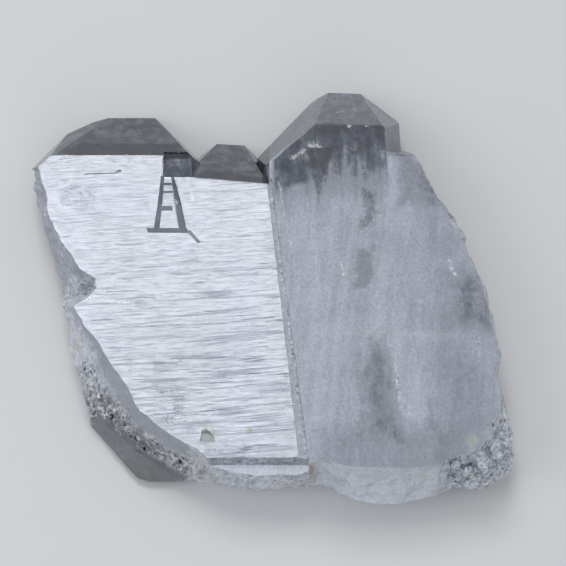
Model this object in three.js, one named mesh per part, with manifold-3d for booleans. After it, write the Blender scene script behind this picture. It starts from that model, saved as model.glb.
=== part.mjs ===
// Faden quartz cluster: tabular quartz crystals that grew side by side as one plate.
//
// Frame, in millimetres: the plate lies on its back. +Y runs along the crystals' long axes
// towards their tips, +Z is the outward normal of the broad striated face, and the origin
// is under the middle of the plate, on the surface that it rests on.

import * as THREE from 'three';
import { ConvexGeometry } from 'three/addons/geometries/ConvexGeometry.js';
import { mergeVertices } from 'three/addons/utils/BufferGeometryUtils.js';
import Module from 'manifold-3d';

const wasm = await Module();
wasm.setup();

// ---------------------------------------------------------------- driving dimensions
const FACE_HEIGHT = 7.6;        // striated face of the left crystal above the rest face
const TIP_EDGE_Y = 13.95;       // where the left crystal's face ends and its tip begins
const TIP_RUN = 1.44;           // length of a tip face for each millimetre that it falls
const SMALL_TIP_EDGE_Y = 10.9;  // the same edge on the small middle crystal
const RIDGE_TOP = new THREE.Vector3(5.0, 9.5, 9.55);     // left edge of the milky face
const RIDGE_BOTTOM = new THREE.Vector3(8.1, -22.8, 8.8);
const SUTURE_TOP = new THREE.Vector3(1.3, 10.8, 7.6);    // line where the two plates meet
const SUTURE_BOTTOM = new THREE.Vector3(5.3, -23.2, 7.6);
const STRIATION_SLOPE = 0.28;   // fall of a striation's floor across its width
const FIGURE_SLOPE = 0.22;      // fall of the growth figure's floors across their width
const FIGURE_EDGE_DEPTH = 0.04;
const CRYSTAL_REACH = 34;       // half size of the block that each crystal is cut from
const CUTTER_SIZE = 160;
const SEED = 11;

// Horizontal outline of the plate, counter-clockwise from the upper left corner. Each
// station has the widest point of the flank and the rim where the flank meets the face.
const LEFT_FLANK = [
  { out: [-25.5, 14.6, 3.0], rim: [-24.2, 12.8, 7.6] },
  { out: [-25.55, 12.5, 3.0], rim: [-23.9, 11.2, 7.6] },
  { out: [-24.95, 10.7, 3.0], rim: [-23.1, 9.3, 7.6] },
  { out: [-23.9, 7.7, 3.0], rim: [-22.7, 6.6, 7.6] },
  { out: [-23.3, 5.6, 3.0], rim: [-21.8, 4.4, 7.6] },
  { out: [-22.3, 2.9, 3.0], rim: [-20.4, 2.2, 7.6] },
  { out: [-21.7, 1.2, 3.0], rim: [-18.9, -0.3, 7.6] },
  { out: [-21.2, -0.4, 3.0], rim: [-17.0, -1.6, 7.6] },
  { out: [-20.9, -1.4, 3.0], rim: [-16.9, -2.7, 7.6] },
  { out: [-21.1, -2.6, 3.0], rim: [-17.9, -4.0, 7.6] },
  { out: [-20.6, -4.2, 3.0], rim: [-19.2, -4.9, 7.6] },
  { out: [-19.8, -7.9, 3.0], rim: [-17.8, -7.2, 7.6] },
  { out: [-18.9, -9.8, 3.0], rim: [-16.2, -9.2, 7.6] },
  { out: [-18.3, -12.1, 2.8], rim: [-14.6, -11.8, 7.6] },
  { out: [-17.7, -14.6, 2.2], rim: [-13.1, -14.0, 7.6] },
  { out: [-15.0, -16.5, 2.2], rim: [-12.0, -16.3, 7.6] },
  { out: [-12.5, -18.9, 2.2], rim: [-10.2, -18.0, 7.6] },
  { out: [-9.8, -20.8, 2.2], rim: [-8.2, -19.5, 7.6] },
];
const LOWER_EDGE = [
  { out: [-6.7, -22.3, 2.4], rim: [-6.1, -20.7, 7.6] },
  { out: [-4.7, -22.8, 2.8], rim: [-4.4, -22.0, 7.6] },
  { out: [-2.3, -23.1, 2.9], rim: [-2.2, -23.0, 7.6] },
  { out: [1.3, -23.4, 2.9], rim: [1.4, -23.3, 7.6] },
  { out: [4.5, -23.2, 2.9], rim: [4.6, -23.1, 7.6] },
  { out: [6.9, -22.7, 2.6], rim: [6.2, -22.3, 8.0] },
  { out: [8.3, -23.4, 2.5], rim: [8.2, -22.9, 8.8] },
  { out: [9.8, -24.3, 2.5], rim: [10.2, -23.1, 8.7] },
  { out: [11.6, -24.8, 2.5], rim: [12.0, -23.2, 8.6] },
  { out: [15.0, -25.0, 2.5], rim: [15.0, -23.2, 8.3] },
  { out: [18.4, -24.1, 2.5], rim: [18.2, -22.9, 8.0] },
];
const RIGHT_FLANK = [
  { out: [20.2, -22.9, 2.5], rim: [19.4, -22.0, 7.9] },
  { out: [23.2, -23.4, 2.5], rim: [21.0, -21.6, 7.7] },
  { out: [24.6, -22.7, 2.8], rim: [22.4, -20.9, 7.6] },
  { out: [26.3, -21.5, 3.2], rim: [23.7, -19.6, 7.5] },
  { out: [26.4, -19.5, 4.0], rim: [23.9, -18.0, 7.5] },
  { out: [26.5, -17.6, 4.0], rim: [24.9, -16.8, 7.6] },
  { out: [25.9, -14.0, 4.0], rim: [25.0, -14.2, 7.6] },
  { out: [25.2, -12.6, 4.0], rim: [24.5, -12.6, 7.6] },
  { out: [25.8, -9.6, 4.0], rim: [25.0, -9.9, 7.6] },
  { out: [25.5, -7.0, 4.0], rim: [24.7, -7.6, 7.7] },
  { out: [25.2, -4.6, 4.0], rim: [24.4, -5.2, 7.7] },
  { out: [24.9, -0.9, 4.0], rim: [23.8, -2.2, 7.8] },
  { out: [23.1, 3.4, 4.0], rim: [22.2, 2.3, 7.9] },
  { out: [22.9, 5.3, 4.0], rim: [21.8, 4.4, 8.0] },
  { out: [22.2, 7.4, 4.0], rim: [20.9, 6.5, 8.1] },
  { out: [21.0, 8.6, 4.0], rim: [19.8, 7.9, 8.2] },
  { out: [19.9, 10.4, 4.0], rim: [18.8, 9.7, 8.3] },
  { out: [19.3, 13.0, 4.0], rim: [18.0, 11.9, 8.4] },
  { out: [18.1, 15.5, 4.0], rim: [17.0, 13.9, 8.5] },
  { out: [17.0, 17.0, 4.0], rim: [16.2, 15.3, 8.6] },
];
// Clear of the tips, which their own crystal faces bound.
const BEYOND_TIPS = [
  [18.5, 22.0], [15.0, 28.0], [0.0, 28.0], [-15.0, 27.0], [-25.0, 25.0], [-28.5, 17.0],
];

// Contour rings of the flank: the foot and the undercut are the widest line drawn in
// towards the middle, and the strips lie between the widest line and the rim.
const FLANK_STEPS = 3;          // facets between one station and the next
const FOOT_INSET = 0.93;
const UNDERCUT_INSET = 0.975;
const HACKLY_SHARE = 0.45;
const SMOOTH_SHARE = 0.72;

// ---------------------------------------------------------------- small tools
function seededRandom(seed) {
  let state = seed;
  return () => {
    state = (state * 1664525 + 1013904223) % 4294967296;
    return state / 4294967296;
  };
}

function vector(values) {
  return new THREE.Vector3(...values);
}

function solidOf(geometry) {
  const bare = geometry.clone();
  bare.deleteAttribute('normal');
  bare.deleteAttribute('uv');
  const merged = mergeVertices(bare, 1e-4);
  return new wasm.Manifold(new wasm.Mesh({
    numProp: 3,
    vertProperties: new Float32Array(merged.attributes.position.array),
    triVerts: new Uint32Array(merged.index.array),
  }));
}

function geometryOf(solid) {
  const mesh = solid.getMesh();
  const geometry = new THREE.BufferGeometry();
  geometry.setAttribute('position', new THREE.BufferAttribute(mesh.vertProperties, 3));
  geometry.setIndex(new THREE.BufferAttribute(mesh.triVerts, 1));
  return geometry;
}

// Drops the loose chips that the cuts leave.
function largestBody(solid) {
  return solid.decompose().reduce((kept, body) => (body.volume() > kept.volume() ? body : kept));
}

// A plane through three points, facing away from a point inside the crystal.
function planeThrough(core, a, b, c) {
  const normal = b.clone().sub(a).cross(c.clone().sub(a)).normalize();
  if (normal.dot(core.clone().sub(a)) > 0) {
    normal.negate();
  }
  return { point: a, normal };
}

function planeAt(point, normal) {
  return { point: vector(point), normal: vector(normal).normalize() };
}

function everythingBeyond({ point, normal }) {
  const block = new THREE.BoxGeometry(CUTTER_SIZE, CUTTER_SIZE, CUTTER_SIZE);
  block.translate(0, 0, CUTTER_SIZE / 2);
  const turn = new THREE.Quaternion().setFromUnitVectors(new THREE.Vector3(0, 0, 1), normal);
  block.applyQuaternion(turn);
  block.translate(point.x, point.y, point.z);
  return solidOf(block);
}

function crystalInside(planes) {
  const block = new THREE.BoxGeometry(2 * CRYSTAL_REACH, 2 * CRYSTAL_REACH, 2 * CRYSTAL_REACH);
  return planes.reduce((kept, plane) => kept.subtract(everythingBeyond(plane)), solidOf(block));
}

// ---------------------------------------------------------------- crystals
const REST_PLANE = planeAt([0, 0, 0], [0, 0, -1]);
const STRIATED_PLANE = planeAt([0, 0, FACE_HEIGHT], [0, 0, 1]);
const LEFT_CORE = new THREE.Vector3(-15, 5, 3);
const SMALL_CORE = new THREE.Vector3(-3.5, 5, 3);
const MILKY_CORE = new THREE.Vector3(9, 5, 4);
const SIDE_CORE = new THREE.Vector3(17, 0, 4);
const MILKY_PLANE = planeThrough(MILKY_CORE, RIDGE_TOP, RIDGE_BOTTOM, vector([16.5, -6.0, 8.4]));

function leftCrystal() {
  return crystalInside([
    REST_PLANE,
    STRIATED_PLANE,
    planeAt([0, TIP_EDGE_Y, FACE_HEIGHT], [0, 1, TIP_RUN]),
    planeThrough(LEFT_CORE, vector([-22.9, TIP_EDGE_Y, FACE_HEIGHT]), vector([-24.1, 12.5, FACE_HEIGHT]),
      vector([-22.0, 22.0, 1.0])),
    planeThrough(LEFT_CORE, vector([-22.0, 22.0, 1.0]), vector([-18.2, 23.55, 0.8]),
      vector([-22.6, TIP_EDGE_Y, FACE_HEIGHT])),
    planeAt([-7.4, TIP_EDGE_Y, FACE_HEIGHT], [0.681, 0.618, 0.393]),
    planeAt([-7.3, 0, FACE_HEIGHT], [0.94, 0, 0.34]),
    planeAt([0, 23.87, 0.9], [0, 0.6, -0.8]),
    planeAt([-21.5, 21.5, 0.9], [-0.6, 0.3, -0.75]),
  ]);
}

function smallCrystal() {
  return crystalInside([
    REST_PLANE,
    STRIATED_PLANE,
    planeThrough(SMALL_CORE, vector([-9.5, SMALL_TIP_EDGE_Y + 0.3, FACE_HEIGHT]),
      vector([1.1, SMALL_TIP_EDGE_Y - 0.7, FACE_HEIGHT]), vector([-3.6, 19.5, 1.3])),
    planeThrough(SMALL_CORE, vector([-6.8, 17.3, 1.8]), vector([-5.1, 19.2, 1.5]),
      vector([-7.6, 12.5, 6.6])),
    planeThrough(SMALL_CORE, vector([-0.2, 17.2, 1.8]), vector([-1.4, 18.9, 1.5]),
      vector([0.8, 12.0, 6.2])),
    planeAt([-14, 0, 0], [-1, 0, 0]),
    planeAt([0, 19.4, 1.2], [0, 0.5, -0.85]),
  ]);
}

function milkyCrystal() {
  const outerLeft = vector([0.2, 16.9, 3.0]);
  const outerTopLeft = vector([6.8, 24.5, 3.0]);
  const outerTop = vector([8.2, 25.65, 3.0]);
  const outerTopRight = vector([12.2, 25.25, 3.0]);
  const outerRight = vector([16.5, 21.3, 3.0]);
  return crystalInside([
    REST_PLANE,
    MILKY_PLANE,
    planeThrough(MILKY_CORE, SUTURE_TOP, SUTURE_BOTTOM, RIDGE_BOTTOM),
    planeThrough(MILKY_CORE, vector([-0.1, 16.5, 3.0]), vector([1.0, 12.4, 7.5]),
      vector([5.5, -23.0, 7.4])),
    planeThrough(MILKY_CORE, vector([7.0, 16.65, 9.5]), vector([13.9, 17.05, 8.9]), outerTop),
    planeThrough(MILKY_CORE, outerLeft, outerTopLeft, vector([6.5, 16.95, 9.5])),
    planeThrough(MILKY_CORE, outerTopLeft, outerTop, vector([6.8, 17.1, 9.5])),
    planeThrough(MILKY_CORE, outerTopRight, outerRight, vector([14.3, 16.8, 8.8])),
    planeThrough(MILKY_CORE, vector([14.2, 13.9, 8.8]), vector([14.25, 16.0, 8.8]),
      vector([16.4, 19.0, 3.0])),
    planeAt([8.2, 25.7, 3.0], [0, 0.75, -0.66]),
    planeAt([0.2, 16.9, 3.0], [-0.6, 0.35, -0.72]),
    planeAt([14.4, 23.3, 3.0], [0.6, 0.62, -0.5]),
    planeAt([16.3, 19.0, 3.0], [0.85, 0.1, -0.5]),
  ]);
}

// Side faces of the back, turned up from the rest face.
function backEdges() {
  return [
    planeAt([-20.5, 0, 0], [-0.5, 0.06, -0.87]),
    planeAt([20.8, 0, 0], [0.5, 0.05, -0.87]),
    planeAt([0, -22.6, 0], [0.05, -0.64, -0.77]),
  ];
}

function sideCrystal() {
  return crystalInside([
    REST_PLANE,
    MILKY_PLANE,
    planeThrough(SIDE_CORE, vector([16.3, 16.9, 4.0]), vector([17.8, 16.6, 4.0]), vector([16.0, 13.5, 8.6])),
    planeAt([12, 0, 0], [-1, 0, 0]),
    planeAt([17, 16.8, 4.0], [0, 0.7, -0.7]),
  ]);
}

// ---------------------------------------------------------------- broken outline
// The plate was snapped from the rock, so hackly flanks cut its crystals short. The flanks
// are closed contour rings stacked from the rest face to above the highest face.
const RING_RULES = [
  { z: () => 0, at: ({ out }) => insetOf(out, FOOT_INSET), rough: 0.20 },
  { z: ({ out }) => out.z * 0.45, at: ({ out }) => insetOf(out, UNDERCUT_INSET), rough: 0.22 },
  { z: ({ out }) => out.z, at: ({ out }) => out, rough: 0.14 },
  { share: HACKLY_SHARE, sag: 0.02, rough: 0.26 },
  { share: SMOOTH_SHARE, sag: 0.10, rough: 0.10 },
  { share: 1.0, sag: 0, rough: 0.07 },
  { share: 1.22, sag: 0, rough: 0 },
];
const RING_TOP = 14;

function insetOf(point, share) {
  return new THREE.Vector3(point.x * share, point.y * share, point.z);
}

function flankStations() {
  const broken = [...LEFT_FLANK, ...LOWER_EDGE, ...RIGHT_FLANK].map(({ out, rim }) => ({
    out: vector(out),
    rim: vector(rim),
  }));
  const stations = [];
  broken.forEach((station, i) => {
    stations.push({ ...station, rough: 1 });
    const next = broken[i + 1];
    for (let step = 1; next && step < FLANK_STEPS; step += 1) {
      stations.push({
        out: station.out.clone().lerp(next.out, step / FLANK_STEPS),
        rim: station.rim.clone().lerp(next.rim, step / FLANK_STEPS),
        rough: 1.3,
      });
    }
  });
  BEYOND_TIPS.forEach(([x, y]) => {
    stations.push({
      out: new THREE.Vector3(x, y, 3.0),
      rim: new THREE.Vector3(x, y, FACE_HEIGHT),
      rough: 0,
    });
  });
  return stations;
}

function brokenOutline() {
  const random = seededRandom(SEED);
  const stations = flankStations();
  const rings = RING_RULES.map((rule) => stations.map((station) => {
    const point = rule.share === undefined
      ? rule.at(station).clone().setZ(rule.z(station))
      : station.out.clone().lerp(station.rim, rule.share);
    if (rule.share !== undefined) {
      point.z -= rule.sag * (station.rim.z - station.out.z);
    }
    const amount = rule.rough * station.rough;
    point.x += amount * (2 * random() - 1);
    point.y += amount * (2 * random() - 1);
    point.z += rule.z && rule.z(station) === 0 ? 0 : amount * (2 * random() - 1);
    return point;
  }));
  rings.push(rings[rings.length - 1].map((point) => point.clone().setZ(RING_TOP)));
  return stackedRings(rings);
}

// Closes a stack of rings with the same number of points into one solid.
function stackedRings(rings) {
  const count = rings[0].length;
  const index = [];
  for (let level = 0; level + 1 < rings.length; level += 1) {
    for (let i = 0; i < count; i += 1) {
      const a = level * count + i;
      const b = level * count + (i + 1) % count;
      index.push(a, b, b + count, a, b + count, a + count);
    }
  }
  const lastRing = (rings.length - 1) * count;
  const footCap = THREE.ShapeUtils.triangulateShape(rings[0], []);
  footCap.forEach(([a, b, c]) => index.push(c, b, a));
  const topCap = THREE.ShapeUtils.triangulateShape(rings[rings.length - 1], []);
  topCap.forEach(([a, b, c]) => index.push(lastRing + a, lastRing + b, lastRing + c));
  const geometry = new THREE.BufferGeometry().setFromPoints(rings.flat());
  geometry.setIndex(index);
  return solidOf(geometry);
}

// ---------------------------------------------------------------- surface relief
// A shallow pocket in the striated face, drop(x, y) deep.
function pocket(outline, drop) {
  const shape = new THREE.Shape(outline.map(([x, y]) => new THREE.Vector2(x, y)));
  const geometry = new THREE.ExtrudeGeometry(shape, { depth: 2, bevelEnabled: false, steps: 1 });
  const position = geometry.attributes.position;
  for (let i = 0; i < position.count; i += 1) {
    const isFloor = position.getZ(i) === 0;
    const depth = isFloor ? drop(position.getX(i), position.getY(i)) : -2;
    position.setZ(i, FACE_HEIGHT - depth);
  }
  return solidOf(geometry);
}

// A growth step: a long lens whose floor drops from its upper edge to its lower one.
function lens({ from: [x0, y0], to: [x1, y1], width }) {
  const slope = (y1 - y0) / (x1 - x0);
  const edgeY = (x) => y0 + slope * (x - x0);
  const along = (share) => x0 + share * (x1 - x0);
  const outline = [
    [x0, y0 - 0.1 * width],
    [along(0.3), edgeY(along(0.3)) - width],
    [along(0.7), edgeY(along(0.7)) - 0.8 * width],
    [x1, y1 - 0.1 * width],
    [along(0.5), edgeY(along(0.5))],
  ];
  return pocket(outline, (x, y) => 0.01 + STRIATION_SLOPE * (edgeY(x) - y));
}

// Striations come in bundles of thin lenses, each shorter than the bundle and beside the last.
const BUNDLES = [
  { from: [-15.2, 2.6], to: [-11.9, 2.7], lines: 1 },
  { from: [-3.6, 0.5], to: [-1.2, 0.7], lines: 1 },
  { from: [-14.8, -1.5], to: [-10.9, -1.4], lines: 1 },
  { from: [-9.3, -1.0], to: [-6.1, -0.9], lines: 1 },
  { from: [-7.5, -3.3], to: [-0.4, -2.8], lines: 3 },
  { from: [-11.1, -6.1], to: [2.5, -4.6], lines: 2 },
  { from: [-10.9, -9.1], to: [3.1, -7.6], lines: 4 },
  { from: [-10.9, -10.8], to: [-0.9, -10.3], lines: 2 },
  { from: [-15.9, -9.7], to: [-11.8, -9.5], lines: 1 },
  { from: [-6.7, -12.7], to: [3.3, -11.7], lines: 3 },
  { from: [-13.3, -13.3], to: [-4.4, -13.0], lines: 2 },
  { from: [-9.2, -15.2], to: [-6.7, -15.1], lines: 2 },
  { from: [-5.6, -16.6], to: [0.8, -16.0], lines: 4 },
  { from: [-3.2, -17.6], to: [3.8, -16.8], lines: 3 },
  { from: [-6.5, -19.2], to: [3.9, -18.5], lines: 2 },
  { from: [-1.0, -20.5], to: [4.2, -20.2], lines: 2 },
];
const LINE_WIDTH = 0.17;
const LINE_PITCH = 0.24;

function striations(random) {
  return BUNDLES.flatMap(({ from, to, lines }) => {
    const reach = to[0] - from[0];
    return Array.from({ length: lines }, (unused, i) => {
      const lower = i * LINE_PITCH;
      const start = lines > 1 ? 0.4 * random() * reach : 0;
      const end = lines > 1 ? 0.25 * random() * reach : 0;
      const rise = (to[1] - from[1]) / reach;
      return lens({
        from: [from[0] + start, from[1] + rise * start - lower],
        to: [to[0] - end, to[1] - rise * end - lower],
        width: LINE_WIDTH * (0.8 + 0.6 * random()),
      });
    });
  });
}

// Tower-shaped growth figure below the clear notch: two legs, rungs between them, a foot bar
// and a trailing line. Each floor falls away from the bar's own edge line.
function growthFigure() {
  const bar = (outline, [edgeX, edgeY], [acrossX, acrossY]) => pocket(outline, (x, y) => {
    const across = (x - edgeX) * acrossX + (y - edgeY) * acrossY;
    return FIGURE_EDGE_DEPTH + FIGURE_SLOPE * Math.max(0, across);
  });
  const leftLeg = [
    [-10.6, 11.3], [-10.85, 7.2], [-11.15, 4.3], [-10.5, 4.3], [-10.3, 8.0], [-10.2, 11.3],
  ];
  const rightLeg = [
    [-9.5, 11.3], [-9.0, 7.3], [-8.35, 4.3], [-7.55, 4.3], [-8.15, 7.3], [-9.2, 11.3],
  ];
  const tail = [[-7.7, 4.4], [-7.3, 3.9], [-6.3, 2.7], [-6.0, 2.85], [-7.1, 4.3]];
  const rung = (y, height) => [
    [-10.35, y + height / 2],
    [-10.4, y - height / 2],
    [-9.1, y - height / 2],
    [-9.2, y + height / 2],
  ];
  return [
    bar(leftLeg, [-11.15, 4.3], [0.997, -0.078]),
    bar(rightLeg, [-8.35, 4.3], [0.986, 0.167]),
    bar(rung(7.1, 0.6), [0, 7.4], [0, -1]),
    bar(rung(9.2, 0.2), [0, 9.3], [0, -1]),
    bar(rung(10.2, 0.3), [0, 10.35], [0, -1]),
    bar([[-11.9, 4.6], [-11.7, 4.05], [-7.4, 4.0], [-7.5, 4.6]], [0, 4.6], [0, -1]),
    bar(tail, [-7.0, 4.5], [-0.6, -0.4]),
  ];
}

// Clear notch at the corner of the left crystal's face, its floor falling towards the tip.
function clearNotch() {
  const outline = [[-10.5, 14.8], [-10.4, 11.1], [-7.2, 11.1], [-7.0, 14.8]];
  return pocket(outline, (x, y) => 0.2 + 0.16 * (y - 11.1));
}

function faceMarks() {
  const pinLine = [[-19.0, 11.4], [-15.4, 11.5], [-15.4, 11.7], [-19.0, 11.55]];
  const pinHead = [[-15.6, 11.75], [-15.35, 11.45], [-15.0, 11.55], [-15.0, 11.95], [-15.3, 12.1]];
  const terrace = [[-15.8, -3.1], [-15.9, -4.4], [-12.5, -4.3], [-12.4, -3.0]];
  const pit = [[-5.3, -18.9], [-5.5, -20.1], [-3.9, -20.1], [-4.1, -19.4], [-4.8, -18.8]];
  return [
    pocket(pinLine, () => 0.12),
    pocket(pinHead, () => 0.22),
    pocket(terrace, (x, y) => 0.02 + 0.04 * (y + 4.4)),
    pocket(pit, (x, y) => 0.12 + 0.24 * (y + 20.1)),
  ];
}

// Narrow step that follows the suture on the striated face.
function sutureStep() {
  const { x: topX, y: topY } = SUTURE_TOP;
  const { x: bottomX, y: bottomY } = SUTURE_BOTTOM;
  const outline = [
    [topX - 0.25, topY],
    [bottomX - 0.75, bottomY],
    [bottomX + 0.3, bottomY],
    [topX + 0.3, topY],
  ];
  const lean = (bottomX - topX) / (bottomY - topY);
  return pocket(outline, (x, y) => 0.05 + 0.16 * (x - topX - lean * (y - topY) + 0.8));
}

// Ledge along the lower end of the striated face, parallel to it and a little below.
function lowerLedge() {
  const profile = [
    [-21.75, 7.7], [-22.15, 6.75], [-22.2, 6.6], [-25.0, 6.6], [-25.0, 9.0], [-21.75, 9.0],
  ];
  const left = -4.7;
  const right = 5.45;
  const shape = new THREE.Shape(profile.map(([y, z]) => new THREE.Vector2(y, z)));
  const length = right - left;
  const geometry = new THREE.ExtrudeGeometry(shape, { depth: length, bevelEnabled: false, steps: 1 });
  const turn = new THREE.Matrix4();
  turn.makeBasis(vector([0, 1, 0]), vector([0, 0, 1]), vector([1, 0, 0]));
  geometry.applyMatrix4(turn);
  geometry.translate(left, 0, 0);
  return solidOf(geometry);
}

// Growth terraces on the underside, which leave the middle flat for the plate to rest on.
const UNDERSIDE_STEPS = [
  { outline: [[-30, 8.6], [-17, 9.4], [-9, 7.6], [-5, 8.2], [-5, 30], [-30, 30]], depth: 0.6 },
  { outline: [[-23, 30], [-22, 15.5], [-15, 14.2], [-10, 15.6], [-9, 30]], depth: 1.0 },
  { outline: [[-3, 10.8], [4, 9.6], [12, 11.4], [30, 9.0], [30, 30], [-3, 30]], depth: 1.0 },
  { outline: [[1, 16.4], [8, 17.2], [15, 15.6], [17, 30], [1, 30]], depth: 1.6 },
  { outline: [[-30, -16], [-15.5, -12.6], [-17.6, -3], [-19, 6], [-30, 7]], depth: 0.8 },
  { outline: [[20, -30], [19.2, -13], [20.4, -4], [18.6, 4], [30, 5], [30, -30]], depth: 0.7 },
  { outline: [[-3.4, -30], [-2.2, 12], [-1.0, 12], [0.4, -30]], depth: 0.3 },
  { outline: [[6.4, -19], [6.9, 7], [7.3, 7], [7.6, -19]], depth: 0.2 },
  { outline: [[-14.6, -15.6], [-4.4, -16.2], [-4.6, -15.7], [-14.4, -15.0]], depth: 0.2 },
  { outline: [[-15.2, -6.2], [-6.0, -6.8], [-6.2, -6.3], [-15.0, -5.8]], depth: 0.2 },
];

function undersideStep({ outline, depth }) {
  const shape = new THREE.Shape(outline.map(([x, y]) => new THREE.Vector2(x, y)));
  const geometry = new THREE.ExtrudeGeometry(shape, { depth: 2, bevelEnabled: false, steps: 1 });
  geometry.translate(0, 0, depth - 2);
  return solidOf(geometry);
}

// ---------------------------------------------------------------- broken corners
// Shell-shaped bites out of the flanks.
const BITES = [
  { at: [-19.3, -2.0, 6.2], size: [2.4, 1.0, 2.0] },
  { at: [-25.3, 9.9, 6.4], size: [1.4, 1.0, 2.2] },
  { at: [-23.8, 3.2, 6.0], size: [1.6, 1.3, 2.0] },
  { at: [-21.3, -9.5, 4.4], size: [2.3, 1.8, 1.4] },
  { at: [-17.8, -14.0, 5.6], size: [2.2, 2.2, 1.6] },
  { at: [-12.6, -20.2, 5.6], size: [2.4, 2.0, 2.0] },
  { at: [0.8, -23.6, 4.4], size: [4.4, 1.0, 1.2] },
  { at: [12.6, -25.8, 6.6], size: [3.4, 1.5, 2.6] },
  { at: [21.9, 6.0, 7.4], size: [1.6, 2.0, 1.6] },
  { at: [19.6, 11.8, 7.6], size: [1.6, 2.2, 1.6] },
  { at: [25.2, -2.6, 7.4], size: [1.4, 2.6, 1.5] },
  { at: [26.2, -10.9, 6.6], size: [1.5, 1.6, 1.8] },
  { at: [-22.6, -2.4, 0.6], size: [2.2, 3.4, 1.4] },
  { at: [-8.0, -23.0, 0.0], size: [3.6, 1.8, 1.2] },
  { at: [5.6, -24.2, 0.4], size: [3.0, 2.2, 1.6] },
  { at: [24.6, -14.4, 0.6], size: [2.4, 3.0, 1.6] },
  { at: [22.8, 5.2, 0.8], size: [2.6, 3.2, 1.8] },
];

function bite({ at, size }, random) {
  const geometry = new THREE.IcosahedronGeometry(1, 1);
  geometry.rotateX(random() * 3);
  geometry.rotateY(random() * 3);
  geometry.scale(...size);
  geometry.translate(...at);
  return solidOf(geometry);
}

// Clear lump of later quartz on the lower left corner.
function cornerLump() {
  const corners = [
    [-17.6, -15.2, 0.0], [-17.5, -15.0, 1.6], [-13.4, -20.2, 0.8], [-12.2, -21.5, 0.9],
    [-11.0, -21.9, 0.9], [-7.4, -21.9, 1.0], [-13.6, -19.4, 0.0], [-11.2, -21.0, 0.0],
    [-7.6, -21.0, 0.0], [-8.6, -20.4, 2.4], [-12.0, -18.6, 2.6], [-15.4, -15.8, 2.4],
    [-10.0, -15.0, 0.0], [-10.0, -15.0, 2.0],
  ];
  return solidOf(new ConvexGeometry(corners.map(vector)));
}

// Crust of small six-sided crystals that wraps the lower right corner, pointing outwards.
const CRUST_MIDDLE = [20.6, -18.6];
const CRUST_RADII = [4.9, 4.0];
const CRUST_ARC = [-1.95, -0.25];
const CRUST_HEIGHTS = [2.4, 7.0];
const CRUST_COUNT = 58;
const CRUST_REACH = { x: 26.5, y: -24.0 };

function smallPoint(radius, length) {
  const outline = [
    new THREE.Vector2(0, 0),
    new THREE.Vector2(radius, 0),
    new THREE.Vector2(radius, length - 1.3 * radius),
    new THREE.Vector2(0, length),
  ];
  return new THREE.LatheGeometry(outline, 6);
}

function crust(random) {
  const between = ([low, high]) => low + (high - low) * random();
  return Array.from({ length: CRUST_COUNT }, () => {
    const radius = 0.3 + 0.5 * random() * random();
    const length = 3.0 * radius + 0.5 * random();
    const arc = between(CRUST_ARC);
    const rise = between([0.1, 1.3]);
    const sway = arc + between([-0.6, 0.6]);
    const point = new THREE.Vector3(
      Math.cos(sway) * Math.cos(rise),
      Math.sin(sway) * Math.cos(rise),
      Math.sin(rise),
    );
    const geometry = smallPoint(radius, length);
    geometry.rotateY(random() * Math.PI);
    geometry.applyQuaternion(new THREE.Quaternion().setFromUnitVectors(vector([0, 1, 0]), point));
    const x = CRUST_MIDDLE[0] + CRUST_RADII[0] * Math.cos(arc) - 0.5 * length * point.x;
    const y = CRUST_MIDDLE[1] + CRUST_RADII[1] * Math.sin(arc) - 0.5 * length * point.y;
    geometry.translate(
      Math.min(x, CRUST_REACH.x - length * Math.abs(point.x) - radius),
      Math.max(y, CRUST_REACH.y + length * Math.abs(point.y) + radius),
      between(CRUST_HEIGHTS),
    );
    return solidOf(geometry);
  });
}

// ---------------------------------------------------------------- the cluster
function quartzCluster() {
  const random = seededRandom(SEED + 1);
  const crystals = leftCrystal()
    .add(smallCrystal())
    .add(milkyCrystal())
    .add(sideCrystal());
  let cluster = crystals.intersect(brokenOutline());
  backEdges().forEach((plane) => {
    cluster = cluster.subtract(everythingBeyond(plane));
  });
  BITES.forEach((spec) => {
    cluster = cluster.subtract(bite(spec, random));
  });
  cluster = cluster.add(cornerLump());
  crust(random).forEach((crystal) => {
    cluster = cluster.add(crystal);
  });
  const relief = [
    clearNotch(),
    ...growthFigure(),
    ...faceMarks(),
    sutureStep(),
    ...striations(random),
    lowerLedge(),
    ...UNDERSIDE_STEPS.map(undersideStep),
  ];
  relief.forEach((cutter) => {
    cluster = cluster.subtract(cutter);
  });
  return largestBody(cluster);
}

function centredOnRestFace(geometry) {
  geometry.computeBoundingBox();
  const box = geometry.boundingBox;
  geometry.translate(-(box.min.x + box.max.x) / 2, -(box.min.y + box.max.y) / 2, -box.min.z);
  return geometry;
}

const quartz = new THREE.MeshStandardMaterial({
  color: 0xc9d0da,
  roughness: 0.12,
  metalness: 0,
});
const cluster = new THREE.Mesh(centredOnRestFace(geometryOf(quartzCluster())), quartz);
cluster.name = 'quartz_cluster';
cluster.geometry.computeVertexNormals();

const group = new THREE.Group();
group.add(cluster);

export default group;
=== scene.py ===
"""Dresses the faden quartz cluster: one grown plate of clear to milky quartz crystals.

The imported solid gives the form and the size. This script refines a copy of it with fine
growth ledges, blunt creases and hackly fracture, gives it the look of quartz, and sets it on
a pale floor under soft studio light.
"""

import logging
import math
import random
from dataclasses import dataclass, field
from enum import IntEnum
from functools import reduce
from typing import Iterable, List, Optional, Sequence, Set, Tuple

import bmesh
import bpy
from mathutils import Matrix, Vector, noise
from mathutils.kdtree import KDTree


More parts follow.
